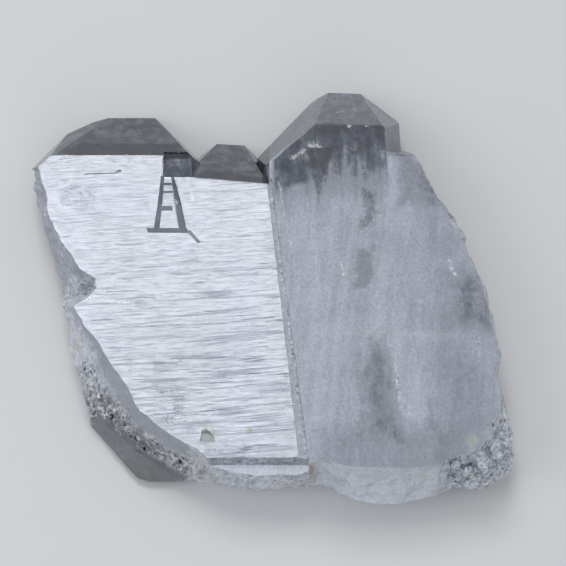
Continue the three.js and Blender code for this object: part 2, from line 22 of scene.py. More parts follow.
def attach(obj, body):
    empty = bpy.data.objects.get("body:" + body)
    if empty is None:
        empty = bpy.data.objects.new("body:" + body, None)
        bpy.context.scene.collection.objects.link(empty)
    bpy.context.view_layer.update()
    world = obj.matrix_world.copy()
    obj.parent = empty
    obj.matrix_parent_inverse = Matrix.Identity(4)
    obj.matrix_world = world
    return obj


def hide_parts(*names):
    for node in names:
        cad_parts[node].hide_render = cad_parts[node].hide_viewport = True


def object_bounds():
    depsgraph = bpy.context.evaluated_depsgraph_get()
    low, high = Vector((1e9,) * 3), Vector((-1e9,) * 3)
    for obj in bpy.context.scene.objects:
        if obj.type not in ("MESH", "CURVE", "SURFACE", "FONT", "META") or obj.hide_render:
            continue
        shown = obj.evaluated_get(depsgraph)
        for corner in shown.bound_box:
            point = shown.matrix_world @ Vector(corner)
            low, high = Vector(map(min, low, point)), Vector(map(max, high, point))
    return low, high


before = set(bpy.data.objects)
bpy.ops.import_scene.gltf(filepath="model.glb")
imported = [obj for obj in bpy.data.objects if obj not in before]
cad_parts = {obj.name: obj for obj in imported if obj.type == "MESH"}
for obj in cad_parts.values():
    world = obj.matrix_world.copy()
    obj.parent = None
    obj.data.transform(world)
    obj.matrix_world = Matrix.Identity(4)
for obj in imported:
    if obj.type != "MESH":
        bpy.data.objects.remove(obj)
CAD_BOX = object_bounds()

LOG = logging.getLogger("quartz_cluster")

NODE = "quartz_cluster"
MM = 0.001

Colour = Tuple[float, float, float]
Point = Tuple[float, float, float]
Place = Tuple[float, float]
Span = Tuple[float, float]

# Sockets of a Mix node that mixes colours.
MIX_SHARE = 0
MIX_FIRST = 6
MIX_SECOND = 7
MIX_RESULT = 2
# Scale that takes the height out of a place, and the middle of a colour.
FLATTEN = (1.0, 1.0, 0.0)
MIDDLE = (0.5, 0.5, 0.5)
# Share of a line's reach within which its mask is full.
LINE_CORE = 0.25
# Shortest line and shortest ledge, in millimetres, and how near two places may be.
SHORTEST_LINE = 1e-6
SHORTEST_LEDGE = 0.01
TOUCH = 0.001

# Places on the plate, in millimetres in the part's frame.
FACE_HEIGHT = 7.6
LEDGE_HEIGHT = 6.6
DEEPEST_RELIEF = 0.5
SUTURE_TOP: Place = (0.86, 10.43)
SUTURE_BOTTOM: Place = (4.86, -23.57)
RIDGE_TOP: Place = (4.56, 9.13)
RIDGE_BOTTOM: Place = (7.66, -23.17)


class Surface(IntEnum):
    """What a facet of the cluster is."""

    STRIATED = 0
    BROKEN = 1
    GROWN = 2
    MILKY = 3
    CREASE = 4
    TOWER = 5
    STEP = 6
    EDGE = 7


# What the colour attribute "surface" says of a facet; the other kinds have no mask.
SURFACE_MASKS = {
    Surface.STRIATED: (1.0, 0.0, 0.0, 1.0),
    Surface.BROKEN: (0.0, 1.0, 0.0, 1.0),
    Surface.MILKY: (0.0, 0.0, 1.0, 1.0),
}
NO_MASK = (0.0, 0.0, 0.0, 1.0)


def rgba(value: object) -> object:
    """Returns a plain colour with its alpha, and anything else as it is."""
    plain = isinstance(value, tuple) and len(value) == 3
    return (*value, 1.0) if plain else value


def suture_x(y: float) -> float:
    """Returns the x of the suture at a height y, in millimetres."""
    share = (y - SUTURE_TOP[1]) / (SUTURE_BOTTOM[1] - SUTURE_TOP[1])
    return SUTURE_TOP[0] + share * (SUTURE_BOTTOM[0] - SUTURE_TOP[0])


def depth_inside(at: Place, outline: Sequence[Place]) -> float:
    """Measures how deep a place lies inside an outline.

    Args:
        at: the place in millimetres.
        outline: the corners of a convex outline, counter-clockwise.

    Returns:
        The distance to the nearest edge in millimetres, negative outside.
    """
    depths = []
    for (x0, y0), (x1, y1) in zip(outline, (*outline[1:], outline[0])):
        length = math.hypot(x1 - x0, y1 - y0)
        depths.append(((at[0] - x0) * (y0 - y1) + (at[1] - y0) * (x1 - x0)) / length)
    return min(depths)


def smooth_step(value: float, low: float, high: float) -> float:
    """Returns 0 below low, 1 above high and a smooth step between them."""
    share = min(1.0, max(0.0, (value - low) / (high - low)))
    return share * share * (3.0 - 2.0 * share)


def in_order(items: Iterable[object]) -> List[object]:
    """Returns the items without repeats, always in the same order."""
    return list(dict.fromkeys(items))


def spaced(rng: random.Random, span: Span, pitch: Span) -> List[float]:
    """Spreads places unevenly over a span.

    Args:
        rng: what the distances are drawn from.
        span: where the places start and end.
        pitch: least and greatest distance between two places.

    Returns:
        The places, in order.
    """
    places = []
    at = span[0]
    while at < span[1]:
        places.append(at)
        at += rng.uniform(*pitch)
    return places


# ---------------------------------------------------------------- shader graph helper
@dataclass(frozen=True)
class Pattern:
    """A noise pattern: waves per millimetre, octaves, and the smooth step made of them."""

    scale: Point
    detail: float
    rough: float
    low: float
    high: float
    start: float = 0.0
    end: float = 1.0
    turn: float = 0.0


@dataclass
class Graph:
    """Builds the nodes of one material."""

    tree: bpy.types.NodeTree

    def node(self, kind: str, **settings: object) -> bpy.types.Node:
        """Adds a node.

        Args:
            kind: the node's type name.
            settings: properties to set on it.

        Returns:
            The new node.
        """
        made = self.tree.nodes.new(kind)
        for name, value in settings.items():
            setattr(made, name, value)
        return made

    def feed(self, socket: bpy.types.NodeSocket, value: object) -> None:
        """Gives a socket a link or a plain value.

        Args:
            socket: the input.
            value: an output socket, a number or a tuple; None leaves the socket alone.
        """
        if isinstance(value, bpy.types.NodeSocket):
            self.tree.links.new(value, socket)
        elif value is not None:
            socket.default_value = value

    def math(self, operation: str, a: object, b: object) -> object:
        """Combines two numbers.

        Args:
            operation: the Math node's operation.
            a: first value.
            b: second value.

        Returns:
            The value socket.
        """
        made = self.node("ShaderNodeMath", operation=operation)
        self.feed(made.inputs[0], a)
        self.feed(made.inputs[1], b)
        return made.outputs[0]

    def times(self, a: object, b: object) -> object:
        """Returns the product of two numbers."""
        return self.math("MULTIPLY", a, b)

    def most(self, a: object, b: object) -> object:
        """Returns the larger of two numbers."""
        return self.math("MAXIMUM", a, b)

    def less(self, a: object, share: object) -> object:
        """Returns a value times what is left after a share is taken away."""
        return self.times(a, self.math("SUBTRACT", 1.0, share))

    def vector(self, operation: str, a: object, b: object = None,
               output: str = "Vector") -> object:
        """Combines vectors.

        Args:
            operation: the Vector Math node's operation.
            a: first vector.
            b: second vector, if the operation takes one.
            output: "Vector" or "Value", whichever the operation gives.

        Returns:
            The chosen socket.
        """
        made = self.node("ShaderNodeVectorMath", operation=operation)
        self.feed(made.inputs[0], a)
        self.feed(made.inputs[1], b)
        return made.outputs[output]

    def scaled(self, vector: object, amount: object) -> object:
        """Scales a vector.

        Args:
            vector: the vector.
            amount: what it is multiplied by.

        Returns:
            The vector socket.
        """
        made = self.node("ShaderNodeVectorMath", operation="SCALE")
        self.feed(made.inputs[0], vector)
        self.feed(made.inputs["Scale"], amount)
        return made.outputs["Vector"]

    def ramp(self, value: object, low: float, high: float, start: float = 0.0,
             end: float = 1.0) -> object:
        """Makes a smooth step.

        Args:
            value: what is stepped.
            low: value at which the step starts.
            high: value at which it ends.
            start: result below low.
            end: result above high.

        Returns:
            The value socket.
        """
        made = self.node("ShaderNodeMapRange", interpolation_type="SMOOTHSTEP")
        self.feed(made.inputs["Value"], value)
        made.inputs["From Min"].default_value = low
        made.inputs["From Max"].default_value = high
        made.inputs["To Min"].default_value = start
        made.inputs["To Max"].default_value = end
        return made.outputs["Result"]

    def noise(self, place: object, scale: Point, detail: float, rough: float,
              turn: float = 0.0) -> object:
        """Reads a Noise Texture.

        Args:
            place: where it is read.
            scale: how many waves per unit along each axis.
            detail: octaves.
            rough: share of each finer octave.
            turn: turn of the pattern about Z, in degrees.

        Returns:
            The value socket, about 0.5 on average.
        """
        made = self.node("ShaderNodeTexNoise")
        self.feed(made.inputs["Vector"], self.mapped(place, scale, turn))
        made.inputs["Scale"].default_value = 1.0
        made.inputs["Detail"].default_value = detail
        made.inputs["Roughness"].default_value = rough
        return made.outputs[0]

    def pattern(self, place: object, pattern: Pattern) -> object:
        """Reads a noise pattern and makes its smooth step.

        Args:
            place: where it is read.
            pattern: the pattern.

        Returns:
            The value socket.
        """
        wave = self.noise(place, pattern.scale, pattern.detail, pattern.rough, pattern.turn)
        return self.ramp(wave, pattern.low, pattern.high, pattern.start, pattern.end)

    def cells(self, place: object, size: float) -> object:
        """Reads a Voronoi Texture.

        Args:
            place: where it is read.
            size: how many cells per unit.

        Returns:
            The socket of the cells' random colours.
        """
        made = self.node("ShaderNodeTexVoronoi", feature="F1")
        self.feed(made.inputs["Vector"], self.mapped(place, (size, size, size)))
        made.inputs["Scale"].default_value = 1.0
        return made.outputs["Color"]

    def mapped(self, place: object, scale: Point, turn: float = 0.0) -> object:
        """Turns and scales a place.

        Args:
            place: the place.
            scale: scale along each axis, after the turn.
            turn: turn about Z in degrees.

        Returns:
            The vector socket.
        """
        if turn:
            turned = self.node("ShaderNodeMapping")
            self.feed(turned.inputs["Vector"], place)
            turned.inputs["Rotation"].default_value = (0.0, 0.0, math.radians(turn))
            place = turned.outputs["Vector"]
        made = self.node("ShaderNodeMapping")
        self.feed(made.inputs["Vector"], place)
        made.inputs["Scale"].default_value = scale
        return made.outputs["Vector"]

    def mix(self, share: object, a: object, b: object) -> object:
        """Mixes two colours.

        Args:
            share: how much of b.
            a: first colour.
            b: second colour.

        Returns:
            The colour socket.
        """
        made = self.node("ShaderNodeMix", data_type="RGBA")
        self.feed(made.inputs[MIX_SHARE], share)
        self.feed(made.inputs[MIX_FIRST], rgba(a))
        self.feed(made.inputs[MIX_SECOND], rgba(b))
        return made.outputs[MIX_RESULT]

    def bump(self, height: object, depth: float, normal: object = None) -> object:
        """Bumps a normal.

        Args:
            height: height from 0 to 1.
            depth: what a height of 1 stands for, in millimetres.
            normal: the normal to start from.

        Returns:
            The normal socket.
        """
        made = self.node("ShaderNodeBump")
        made.inputs["Strength"].default_value = 1.0
        made.inputs["Distance"].default_value = depth * MM
        self.feed(made.inputs["Height"], height)
        self.feed(made.inputs["Normal"], normal)
        return made.outputs["Normal"]

    def inside(self, place: object, outline: Sequence[Place], soft: float,
               waver: object = None) -> object:
        """Masks the inside of a convex outline.

        Args:
            place: the place in millimetres.
            outline: its corners, counter-clockwise.
            soft: width of the fade at its edge, in millimetres.
            waver: a distance in millimetres by which the edge wavers.

        Returns:
            The mask socket.
        """
        depth = None
        for (x0, y0), (x1, y1) in zip(outline, (*outline[1:], outline[0])):
            length = math.hypot(x1 - x0, y1 - y0)
            inward = ((y0 - y1) / length, (x1 - x0) / length, 0.0)
            reach = self.vector("DOT_PRODUCT", place, inward, "Value")
            edge = self.math("SUBTRACT", reach, x0 * inward[0] + y0 * inward[1])
            depth = edge if depth is None else self.math("MINIMUM", depth, edge)
        if waver is not None:
            depth = self.math("ADD", depth, waver)
        return self.ramp(depth, -0.5 * soft, 0.5 * soft)

    def near(self, flat: object, start: Place, end: Place, reach: float) -> object:
        """Masks what lies near a straight line.

        Args:
            flat: the place in millimetres, with no height.
            start: where the line starts.
            end: where it ends.
            reach: how far from the line the mask fades out, in millimetres.

        Returns:
            The mask socket.
        """
        run = (end[0] - start[0], end[1] - start[1], 0.0)
        length = max(math.hypot(run[0], run[1]), SHORTEST_LINE)
        along = (run[0] / length, run[1] / length, 0.0)
        offset = self.vector("SUBTRACT", flat, (start[0], start[1], 0.0))
        share = self.vector("DOT_PRODUCT", offset, along, "Value")
        share = self.math("MINIMUM", self.most(share, 0.0), length)
        gap = self.vector("SUBTRACT", offset, self.scaled(along, share))
        away = self.vector("LENGTH", gap, output="Value")
        return self.ramp(away, LINE_CORE * reach, reach, 1.0, 0.0)


# ---------------------------------------------------------------- finishes
@dataclass(frozen=True)
class Zone:
    """A region of the plate where the quartz is clearer, seen from above.

    depth is how clear it is, soft the width of its edge, ragged how far the edge wavers,
    and fade where along the crystal it sets in and is full, all but depth in millimetres.
    The clearer the quartz, the darker it is coloured: painted shade for the dark seen through it.
    """

    outline: Tuple[Place, ...]
    depth: float
    soft: float = 0.3
    ragged: float = 0.3
    fade: Optional[Tuple[float, float]] = None


# Every clear zone is coloured dark: painted shade for the dark that would show through clear
# quartz.
CLEAR_SHADED_ZONES = (
    # Left crystal: the tip, its darkest band, a wisp, and the clear notch, darkened as painted
    # shade where it turns from the light.
    Zone(((-26.0, 13.6), (-7.6, 13.6), (-9.0, 27.0), (-26.0, 27.0)), 0.93, 0.05, 0.0),
    Zone(((-22.4, 13.6), (-8.2, 13.6), (-9.4, 16.4), (-20.6, 16.6)), 1.0, 0.25, 0.25),
    Zone(((-16.4, 20.2), (-11.0, 20.4), (-11.2, 21.2), (-15.6, 21.4)), 0.8, 0.5, 0.9),
    Zone(((-11.0, 10.8), (-7.6, 10.8), (-7.2, 14.5), (-11.0, 14.5)), 0.86, 0.1, 0.1),
    # Painted shade between the legs of the tower, where the recess turns from the light.
    Zone(((-11.2, 7.3), (-8.7, 7.3), (-9.2, 10.5), (-11.0, 10.5)), 0.4, 0.3, 0.3),
    # Small middle crystal and its dark base.
    Zone(((-7.6, 10.9), (0.9, 9.9), (0.9, 20.0), (-8.4, 20.0)), 0.92, 0.05, 0.0),
    Zone(((-7.2, 10.8), (0.9, 9.9), (0.6, 11.4), (-6.6, 12.6)), 1.0, 0.7, 0.5),
    # Milky crystal: the tip, then the dark zone under it with its darkest parts.
    Zone(((-0.6, 12.2), (6.2, 16.7), (6.2, 27.0), (-0.6, 27.0)), 0.84, 0.1, 0.0),
    Zone(((6.2, 16.7), (16.6, 16.7), (16.6, 27.0), (6.2, 27.0)), 0.80, 0.1, 0.0),
    Zone(((13.9, 12.8), (16.6, 12.8), (16.6, 16.8), (13.9, 16.8)), 0.55, 0.3, 0.2),
    Zone(((1.3, 3.0), (13.9, 3.0), (13.8, 16.8), (6.1, 16.8), (1.4, 12.7)), 0.92, 0.3, 0.3,
         fade=(7.0, 13.8)),
    Zone(((5.4, 9.4), (13.7, 9.2), (13.7, 16.8), (5.9, 16.8)), 0.7, 0.3, 0.3, fade=(11.8, 15.8)),
    Zone(((1.6, 8.9), (4.9, 9.2), (4.9, 12.9), (1.5, 12.6)), 0.74, 1.1, 0.8),
    Zone(((6.2, 6.4), (8.0, 13.5), (4.8, 13.5)), 0.86, 0.6, 0.5),
    Zone(((1.4, 4.4), (13.8, 4.4), (13.8, 12.0), (1.4, 12.0)), 0.40, 1.0, 1.0, fade=(4.4, 9.8)),
    # Clearer patches inside the milky crystal, from its tip down.
    Zone(((15.2, 6.8), (20.2, 6.8), (17.6, 15.0), (15.1, 15.0)), 0.58, 2.2, 1.4),
    Zone(((11.0, 3.6), (12.4, 4.0), (12.5, 7.8), (11.2, 8.4)), 0.62, 0.6, 1.8),
    Zone(((10.2, -3.4), (11.7, -3.2), (11.8, 0.7), (10.4, 0.7)), 0.46, 0.8, 2.2),
    Zone(((20.4, -7.3), (24.6, -8.4), (23.8, -1.0), (20.4, -1.8)), 0.62, 3.4, 0.9),
    Zone(((10.6, -19.8), (14.4, -20.6), (14.0, -17.0), (12.7, -9.5), (11.5, -9.5), (10.5, -13.2)),
         0.64, 2.2, 1.8),
    Zone(((16.8, -19.2), (17.5, -19.2), (17.6, -15.9), (16.9, -15.9)), 0.25, 0.9, 1.0),
    Zone(((19.4, -17.0), (22.2, -17.0), (22.6, -11.4), (19.8, -11.4)), 0.22, 2.2, 1.8),
    Zone(((6.3, -24.4), (20.0, -24.4), (21.0, -19.0), (6.0, -19.6)), 0.36, 3.4, 1.6),
    Zone(((17.5, -24.0), (30.0, -24.0), (30.0, 18.0), (17.5, 18.0)), 0.34, 4.5, 1.8),
)


@dataclass(frozen=True)
class Seam:
    """A line of healed cracks and tiny bright chips: its ends, half its width, its share."""

    start: Place
    end: Place
    reach: float
    share: float = 1.0


# The seams' white is partly healed cracks and partly painted glints.
SEAMS = (
    # Along the suture, on both its sides.
    Seam((0.95, 10.4), (4.95, -23.4), 0.28, 0.9),
    Seam((1.9, 9.9), (4.1, -3.4), 0.13, 0.8),
    Seam((4.9, 7.6), (6.2, -4.0), 0.10, 0.45),
    # Cracks in the milky crystal.
    Seam((8.32, -0.15), (9.0, -3.15), 0.28, 0.9),
    Seam((13.84, -11.35), (14.33, -17.22), 0.24, 0.9),
    Seam((22.67, -8.74), (22.72, -11.13), 0.22, 1.0),
    Seam((19.95, -0.03), (20.69, -1.84), 0.34, 0.8),
    Seam((3.4, 12.5), (4.9, 13.1), 0.34, 1.0),
    Seam((5.3, 13.6), (6.6, 13.5), 0.26, 0.9),
    Seam((9.7, 16.45), (9.9, 16.45), 0.22, 1.0),
    Seam((11.6, 16.45), (11.8, 16.45), 0.22, 1.0),
    Seam((8.5, 19.9), (10.6, 21.0), 0.15, 1.0),
    # Chips on the striated face, by the notch, by the tower and at its upper left: painted
    # highlights for glinting chips.
    Seam((-8.05, 10.61), (-7.42, 7.78), 0.34, 0.9),
    Seam((-16.2, -4.5), (-13.4, -4.9), 0.5, 0.8),
    Seam((-21.6, 10.5), (-21.0, 10.5), 0.34, 1.0),
    Seam((-10.4, 7.6), (-9.4, 7.6), 0.4, 0.8),
    Seam((-10.6, -11.0), (-8.4, -11.0), 0.5, 0.7),
    Seam((-22.6, 13.6), (-11.4, 13.62), 0.12, 0.6),
    Seam((-6.9, 10.55), (0.3, 9.95), 0.10, 0.5),
    # Glints on the left flank, next to the face.
    Seam((-24.4, 11.6), (-24.1, 10.6), 0.5, 1.0),
    Seam((-23.8, 7.6), (-22.6, 6.0), 0.55, 1.0),
    Seam((-22.2, 4.2), (-21.2, 2.2), 0.55, 0.9),
    Seam((-19.4, -2.6), (-17.8, -4.2), 0.7, 0.8),
)


@dataclass(frozen=True)
class TintSpot:
    """A small stain on the quartz: its middle, radius, colour and share."""

    middle: Place
    reach: float
    colour: Colour
    share: float


# Stains, and one spot of painted shade.
STAINS_AND_SHADE = (
    TintSpot((-1.01, -19.21), 0.5, (0.42, 0.29, 0.10), 0.95),
    TintSpot((5.31, -22.95), 0.42, (0.42, 0.27, 0.08), 0.8),
    TintSpot((-5.0, -19.7), 1.3, (0.44, 0.47, 0.36), 0.75),
    TintSpot((-19.4, -8.2), 1.0, (0.72, 0.72, 0.55), 0.5),
    TintSpot((21.4, -20.4), 1.0, (0.58, 0.60, 0.44), 0.5),
    TintSpot((-19.8, 8.6), 1.9, (0.44, 0.46, 0.56), 0.6),
    TintSpot((-18.9, 7.7), 1.2, (0.40, 0.42, 0.52), 0.5),
    # Painted shade: a dark spot over the clear lump on the lower left corner.
    TintSpot((-12.4, -22.6), 4.2, (0.13, 0.142, 0.135), 0.8),
)

# Patches of the striated face where tiny feathery steps scatter the light; their dark is painted
# shade.
FEATHERED = (
    ((-10.9, -13.6), (-9.9, -19.4), (-6.6, -19.4), (-7.0, -14.2)),
    ((-11.4, -10.9), (-11.4, -12.4), (-7.4, -12.0), (-7.4, -10.6)),
    ((-22.0, 9.9), (-21.6, 6.8), (-18.2, 6.4), (-18.4, 9.6)),
    ((-6.4, -20.3), (-6.4, -22.2), (-1.4, -22.2), (-1.4, -20.6)),
)
# Faint white thread zone that crosses the milky crystal.
THREAD = ((5.2, -9.4), (19.6, -9.3), (19.6, -8.5), (5.2, -8.6))
# Width in millimetres over which the thread and the feathery patches fade out.
THREAD_SOFT = 0.9
FEATHERED_SOFT = 1.6
# The fine growth lines are strongest at the face's lower right.
LINES_TOWARDS = (0.5, -0.85, 0.0)
LINES_STRENGTH = (-16.0, 10.0, 0.35, 1.0)
# How far the fades of the clear zones are drawn out in streaks, in millimetres.
STREAK_LENGTH = 7.0
# Crushed quartz: its cells in a millimetre, and the steps that pick its gaps, darkened as painted
# shade, and its splinters, whitened partly as painted glints.
GRAIN_CELLS = 3.4
GAP_SHADE = (0.16, 0.40, 0.95, 0.0)
SPLINTERS_AND_GLINTS = (0.68, 0.86)
# The seams waver by this many millimetres, this many times in a millimetre.
SEAM_WAVER = 0.5
SEAM_WAVES = 1.6
# Depth in millimetres that the bumps of the growth lines and of broken quartz stand for.
LINE_BUMP = 0.02
BROKEN_BUMP = 0.18
# Tilt of the crushed quartz's splinters: cells in a millimetre, and how far they lean.
SPLINTERS = ((1.7, 0.7), (3.4, 2.0))

# Plain noise: waves per millimetre, octaves and the share of each finer octave.
ZONE_WAVER = ((0.8, 0.5, 0.5), 5.0, 0.75)
FADE_STREAKS = ((1.3, 0.12, 0.3), 5.0, 0.65)
BROKEN_GRAIN = ((1.5, 1.5, 1.5), 6.0, 0.75)

# Stepped noise: what veils the milky quartz, then the crushed quartz, the chips with their
# painted glints and the stains with one spot of painted shade, then the striated face.
VEIL_STREAKS = Pattern((0.9, 0.08, 0.4), 4.0, 0.7, 0.30, 0.70, 0.78, 1.0, turn=6.5)
VEIL_HAZE = Pattern((0.16, 0.5, 0.2), 4.0, 0.6, 0.3, 0.7, 0.90, 1.0)
VEIL_MOTTLE = Pattern((3.2, 2.8, 2.0), 5.0, 0.9, 0.34, 0.66, 0.62, 1.0)
WISPS = Pattern((0.8, 0.55, 0.6), 5.0, 0.75, 0.40, 0.68, 0.0, 0.34)
# Wisps grow with the milkiness: from and to this much of it, by this much.
WISPS_BY_MILK = (0.0, 0.10, 0.25, 1.0)
COARSE_GRAINS = Pattern((0.7, 0.7, 0.8), 5.0, 0.7, 0.34, 0.60, 0.40, 1.0)
FINE_GRAINS = Pattern((3.2, 3.2, 3.2), 4.0, 0.8, 0.35, 0.62, 0.35, 1.0)
CHIP_GLINT_DOTS = Pattern((3.6, 2.6, 3.0), 3.0, 0.7, 0.45, 0.57, 0.10, 1.0)
RAGGED_SPOT = Pattern((1.6, 1.6, 1.6), 4.0, 0.7, 0.35, 0.6, 0.35, 1.0)
FINE_LINES = Pattern((0.20, 4.6, 0.0), 3.0, 0.7, 0.54, 0.67, turn=-4.5)
LINE_BUNDLES = Pattern((0.09, 0.5, 0.0), 3.0, 0.6, 0.43, 0.59, 0.05, 1.0, turn=-4.5)
FAINT_LINES = Pattern((0.6, 4.6, 0.0), 6.0, 0.8, 0.46, 0.72, 0.0, 0.42, turn=-3.0)
DULL_PATCHES = Pattern((0.5, 0.8, 0.0), 5.0, 0.8, 0.46, 0.66, 0.0, 0.28)
UPRIGHT_LINES = Pattern((2.6, 0.3, 0.0), 4.0, 0.8, 0.56, 0.75, 0.0, 0.06)
FEATHERS = Pattern((4.0, 5.5, 0.0), 5.0, 0.85, 0.48, 0.62, 0.0, 0.8, turn=12.0)
FEATHER_GAPS = Pattern((0.9, 1.3, 0.0), 4.0, 0.7, 0.44, 0.60)


@dataclass(frozen=True)
class QuartzFinish:
    """Clear to milky quartz."""

    # clear is the colour of clear quartz painted dark: painted shade for the dark seen through
    # it.
    clear: Colour = (0.024, 0.029, 0.046)
    milk: Colour = (0.77, 0.825, 0.945)
    frost: Colour = (0.95, 0.97, 1.0)
    ior: float = 1.544
    transmission: float = 0.55
    absorption_colour: Colour = (0.75, 0.82, 0.95)
    absorption_density: float = 12.0
    specular_level: float = 0.3
    coat_roughness: float = 0.03
    # Roughness steps up from clear to cloudy quartz, and is no less than these.
    roughness_step: Tuple[float, float, float, float] = (0.08, 0.88, 0.06, 0.78)
    milky_roughness: float = 0.15
    broken_roughness: float = 0.4
    # Weight of the glossy skin. It is 1 on the striated face, less on its dark lines.
    grown_gloss: float = 0.35
    milky_gloss: float = 0.55
    broken_gloss: float = 0.45
    line_dulling: float = 0.95
    # How milky broken quartz is without frost, and the least veil of the striated face.
    broken_milk: float = 0.6
    striated_veil: float = 0.92
    # How strongly the frost, the dark lines of painted shade and the faint thread colour the
    # quartz.
    frost_share: float = 0.9
    line_shade: float = 0.85
    thread_share: float = 0.10

    def material(self) -> bpy.types.Material:
        """Makes the quartz material.

        Returns:
            The material.
        """
        made = bpy.data.materials.new("quartz")
        made.use_nodes = True
        made.node_tree.nodes.clear()
        QuartzShader(self, Graph(made.node_tree)).build()
        return made


@dataclass
class QuartzShader:
    """Builds the nodes of the quartz material."""

    look: QuartzFinish
    g: Graph
    mm: object = field(init=False)
    flat: object = field(init=False)
    striated: object = field(init=False)
    broken: object = field(init=False)
    milky: object = field(init=False)
    frosty: object = field(init=False)
    glinting: object = field(init=False)
    smoky_and_shaded: object = field(init=False)

    def __post_init__(self) -> None:
        """Reads the place in millimetres and the painted masks."""
        place = self.g.node("ShaderNodeTexCoord").outputs["Object"]
        self.mm = self.g.mapped(place, (1 / MM, 1 / MM, 1 / MM))
        self.flat = self.g.mapped(self.mm, FLATTEN)
        self.striated, self.broken, self.milky = self.painted("surface")
        self.frosty, self.glinting, self.smoky_and_shaded = self.painted("fracture")

    def painted(self, name: str) -> Tuple[object, object, object]:
        """Reads the three masks of one colour attribute.

        Args:
            name: the attribute's name.

        Returns:
            Its red, green and blue sockets.
        """
        masks = self.g.node("ShaderNodeSeparateColor")
        attribute = self.g.node("ShaderNodeAttribute", attribute_name=name)
        self.g.feed(masks.inputs["Color"], attribute.outputs["Color"])
        return masks.outputs["Red"], masks.outputs["Green"], masks.outputs["Blue"]

    def build(self) -> None:
        """Links the shader and the absorption to the material's output."""
        g = self.g
        look = self.look
        chips_and_glints = self.chips_and_glints()
        gap_shade, splinters_and_glints = self.grains()
        # The frost takes in the bright splinters and chips, partly painted glints.
        frost = g.most(g.most(g.times(self.frosty, self.blotches()), splinters_and_glints), chips_and_glints)
        body = self.milkiness()
        lines = self.growth_lines_and_shade()
        line_shade = g.times(self.striated, lines)
        normal = self.relief(g.most(self.glinting, g.less(chips_and_glints, self.striated)), lines)

        shader = g.node("ShaderNodeBsdfPrincipled")
        g.feed(shader.inputs["Base Color"], self.colour(body, frost, gap_shade, line_shade))
        g.feed(shader.inputs["Roughness"], self.roughness(body))
        shader.inputs["IOR"].default_value = look.ior
        shader.inputs["Transmission Weight"].default_value = look.transmission
        shader.inputs["Specular IOR Level"].default_value = look.specular_level
        g.feed(shader.inputs["Coat Weight"], self.gloss(body, line_shade))
        shader.inputs["Coat Roughness"].default_value = look.coat_roughness
        g.feed(shader.inputs["Normal"], normal)
        g.feed(shader.inputs["Coat Normal"], normal)
        absorption = g.node("ShaderNodeVolumeAbsorption")
        absorption.inputs["Color"].default_value = rgba(look.absorption_colour)
        absorption.inputs["Density"].default_value = look.absorption_density
        out = g.node("ShaderNodeOutputMaterial")
        g.feed(out.inputs["Surface"], shader.outputs[0])
        g.feed(out.inputs["Volume"], absorption.outputs[0])

    def colour(self, body: object, frost: object, gap_shade: object,
               line_shade: object) -> object:
        """Mixes the colour from clear, milky and frosted quartz.

        Args:
            body: how milky the quartz is.
            frost: mask of the frost, the bright splinters and the chips, partly painted glints.
            gap_shade: mask of the painted shade in the gaps of the crushed quartz.
            line_shade: mask of the growth lines, whose dark is painted shade.

        Returns:
            The colour socket.
        """
        g = self.g
        look = self.look
        frosted = g.times(frost, 1.0 - look.broken_milk)
        broken_milk = g.times(g.math("ADD", look.broken_milk, frosted), self.broken)
        grown_milk = g.less(g.times(body, self.veil()), self.broken)
        milk = g.math("ADD", grown_milk, broken_milk)
        # Smoke and the painted shade of the tower, the step and the gaps take milk away, towards
        # the clear colour's painted shade.
        milk = g.less(g.less(milk, self.smoky_and_shaded), gap_shade)
        # Clear quartz takes the dark clear colour: painted shade.
        colour = g.mix(milk, look.clear, look.milk)
        colour = g.mix(g.times(frost, look.frost_share), colour, look.frost)
        # The growth lines are darkened towards the clear colour: painted shade where the ledges
        # turn from the light.
        colour = g.mix(g.times(line_shade, look.line_shade), colour, look.clear)
        return self.stained_and_shaded(colour)

    def roughness(self, body: object) -> object:
        """Makes clear quartz smooth and cloudy quartz rough.

        Args:
            body: how milky the quartz is.

        Returns:
            The roughness socket.
        """
        g = self.g
        cloudy = g.less(g.most(body, self.broken), self.smoky_and_shaded)
        rough = g.ramp(cloudy, *self.look.roughness_step)
        rough = g.most(rough, g.times(self.milky, self.look.milky_roughness))
        return g.most(rough, g.times(self.broken, self.look.broken_roughness))

    def gloss(self, body: object, line_shade: object) -> object:
        """Weighs the glossy skin: full on the striated face, slighter elsewhere.

        Args:
            body: how milky the quartz is.
            line_shade: mask of the growth lines, whose dark is painted shade.

        Returns:
            The weight socket.
        """
        g = self.g
        look = self.look
        face = g.less(self.striated, g.times(line_shade, look.line_dulling))
        grown = g.times(g.less(body, self.milky), look.grown_gloss)
        skin = g.math("ADD", grown, g.times(self.milky, look.milky_gloss))
        plain = g.less(g.math("ADD", face, g.less(skin, self.striated)), self.broken)
        hackly = g.times(self.broken, g.most(self.glinting, look.broken_gloss))
        return g.math("ADD", plain, hackly)

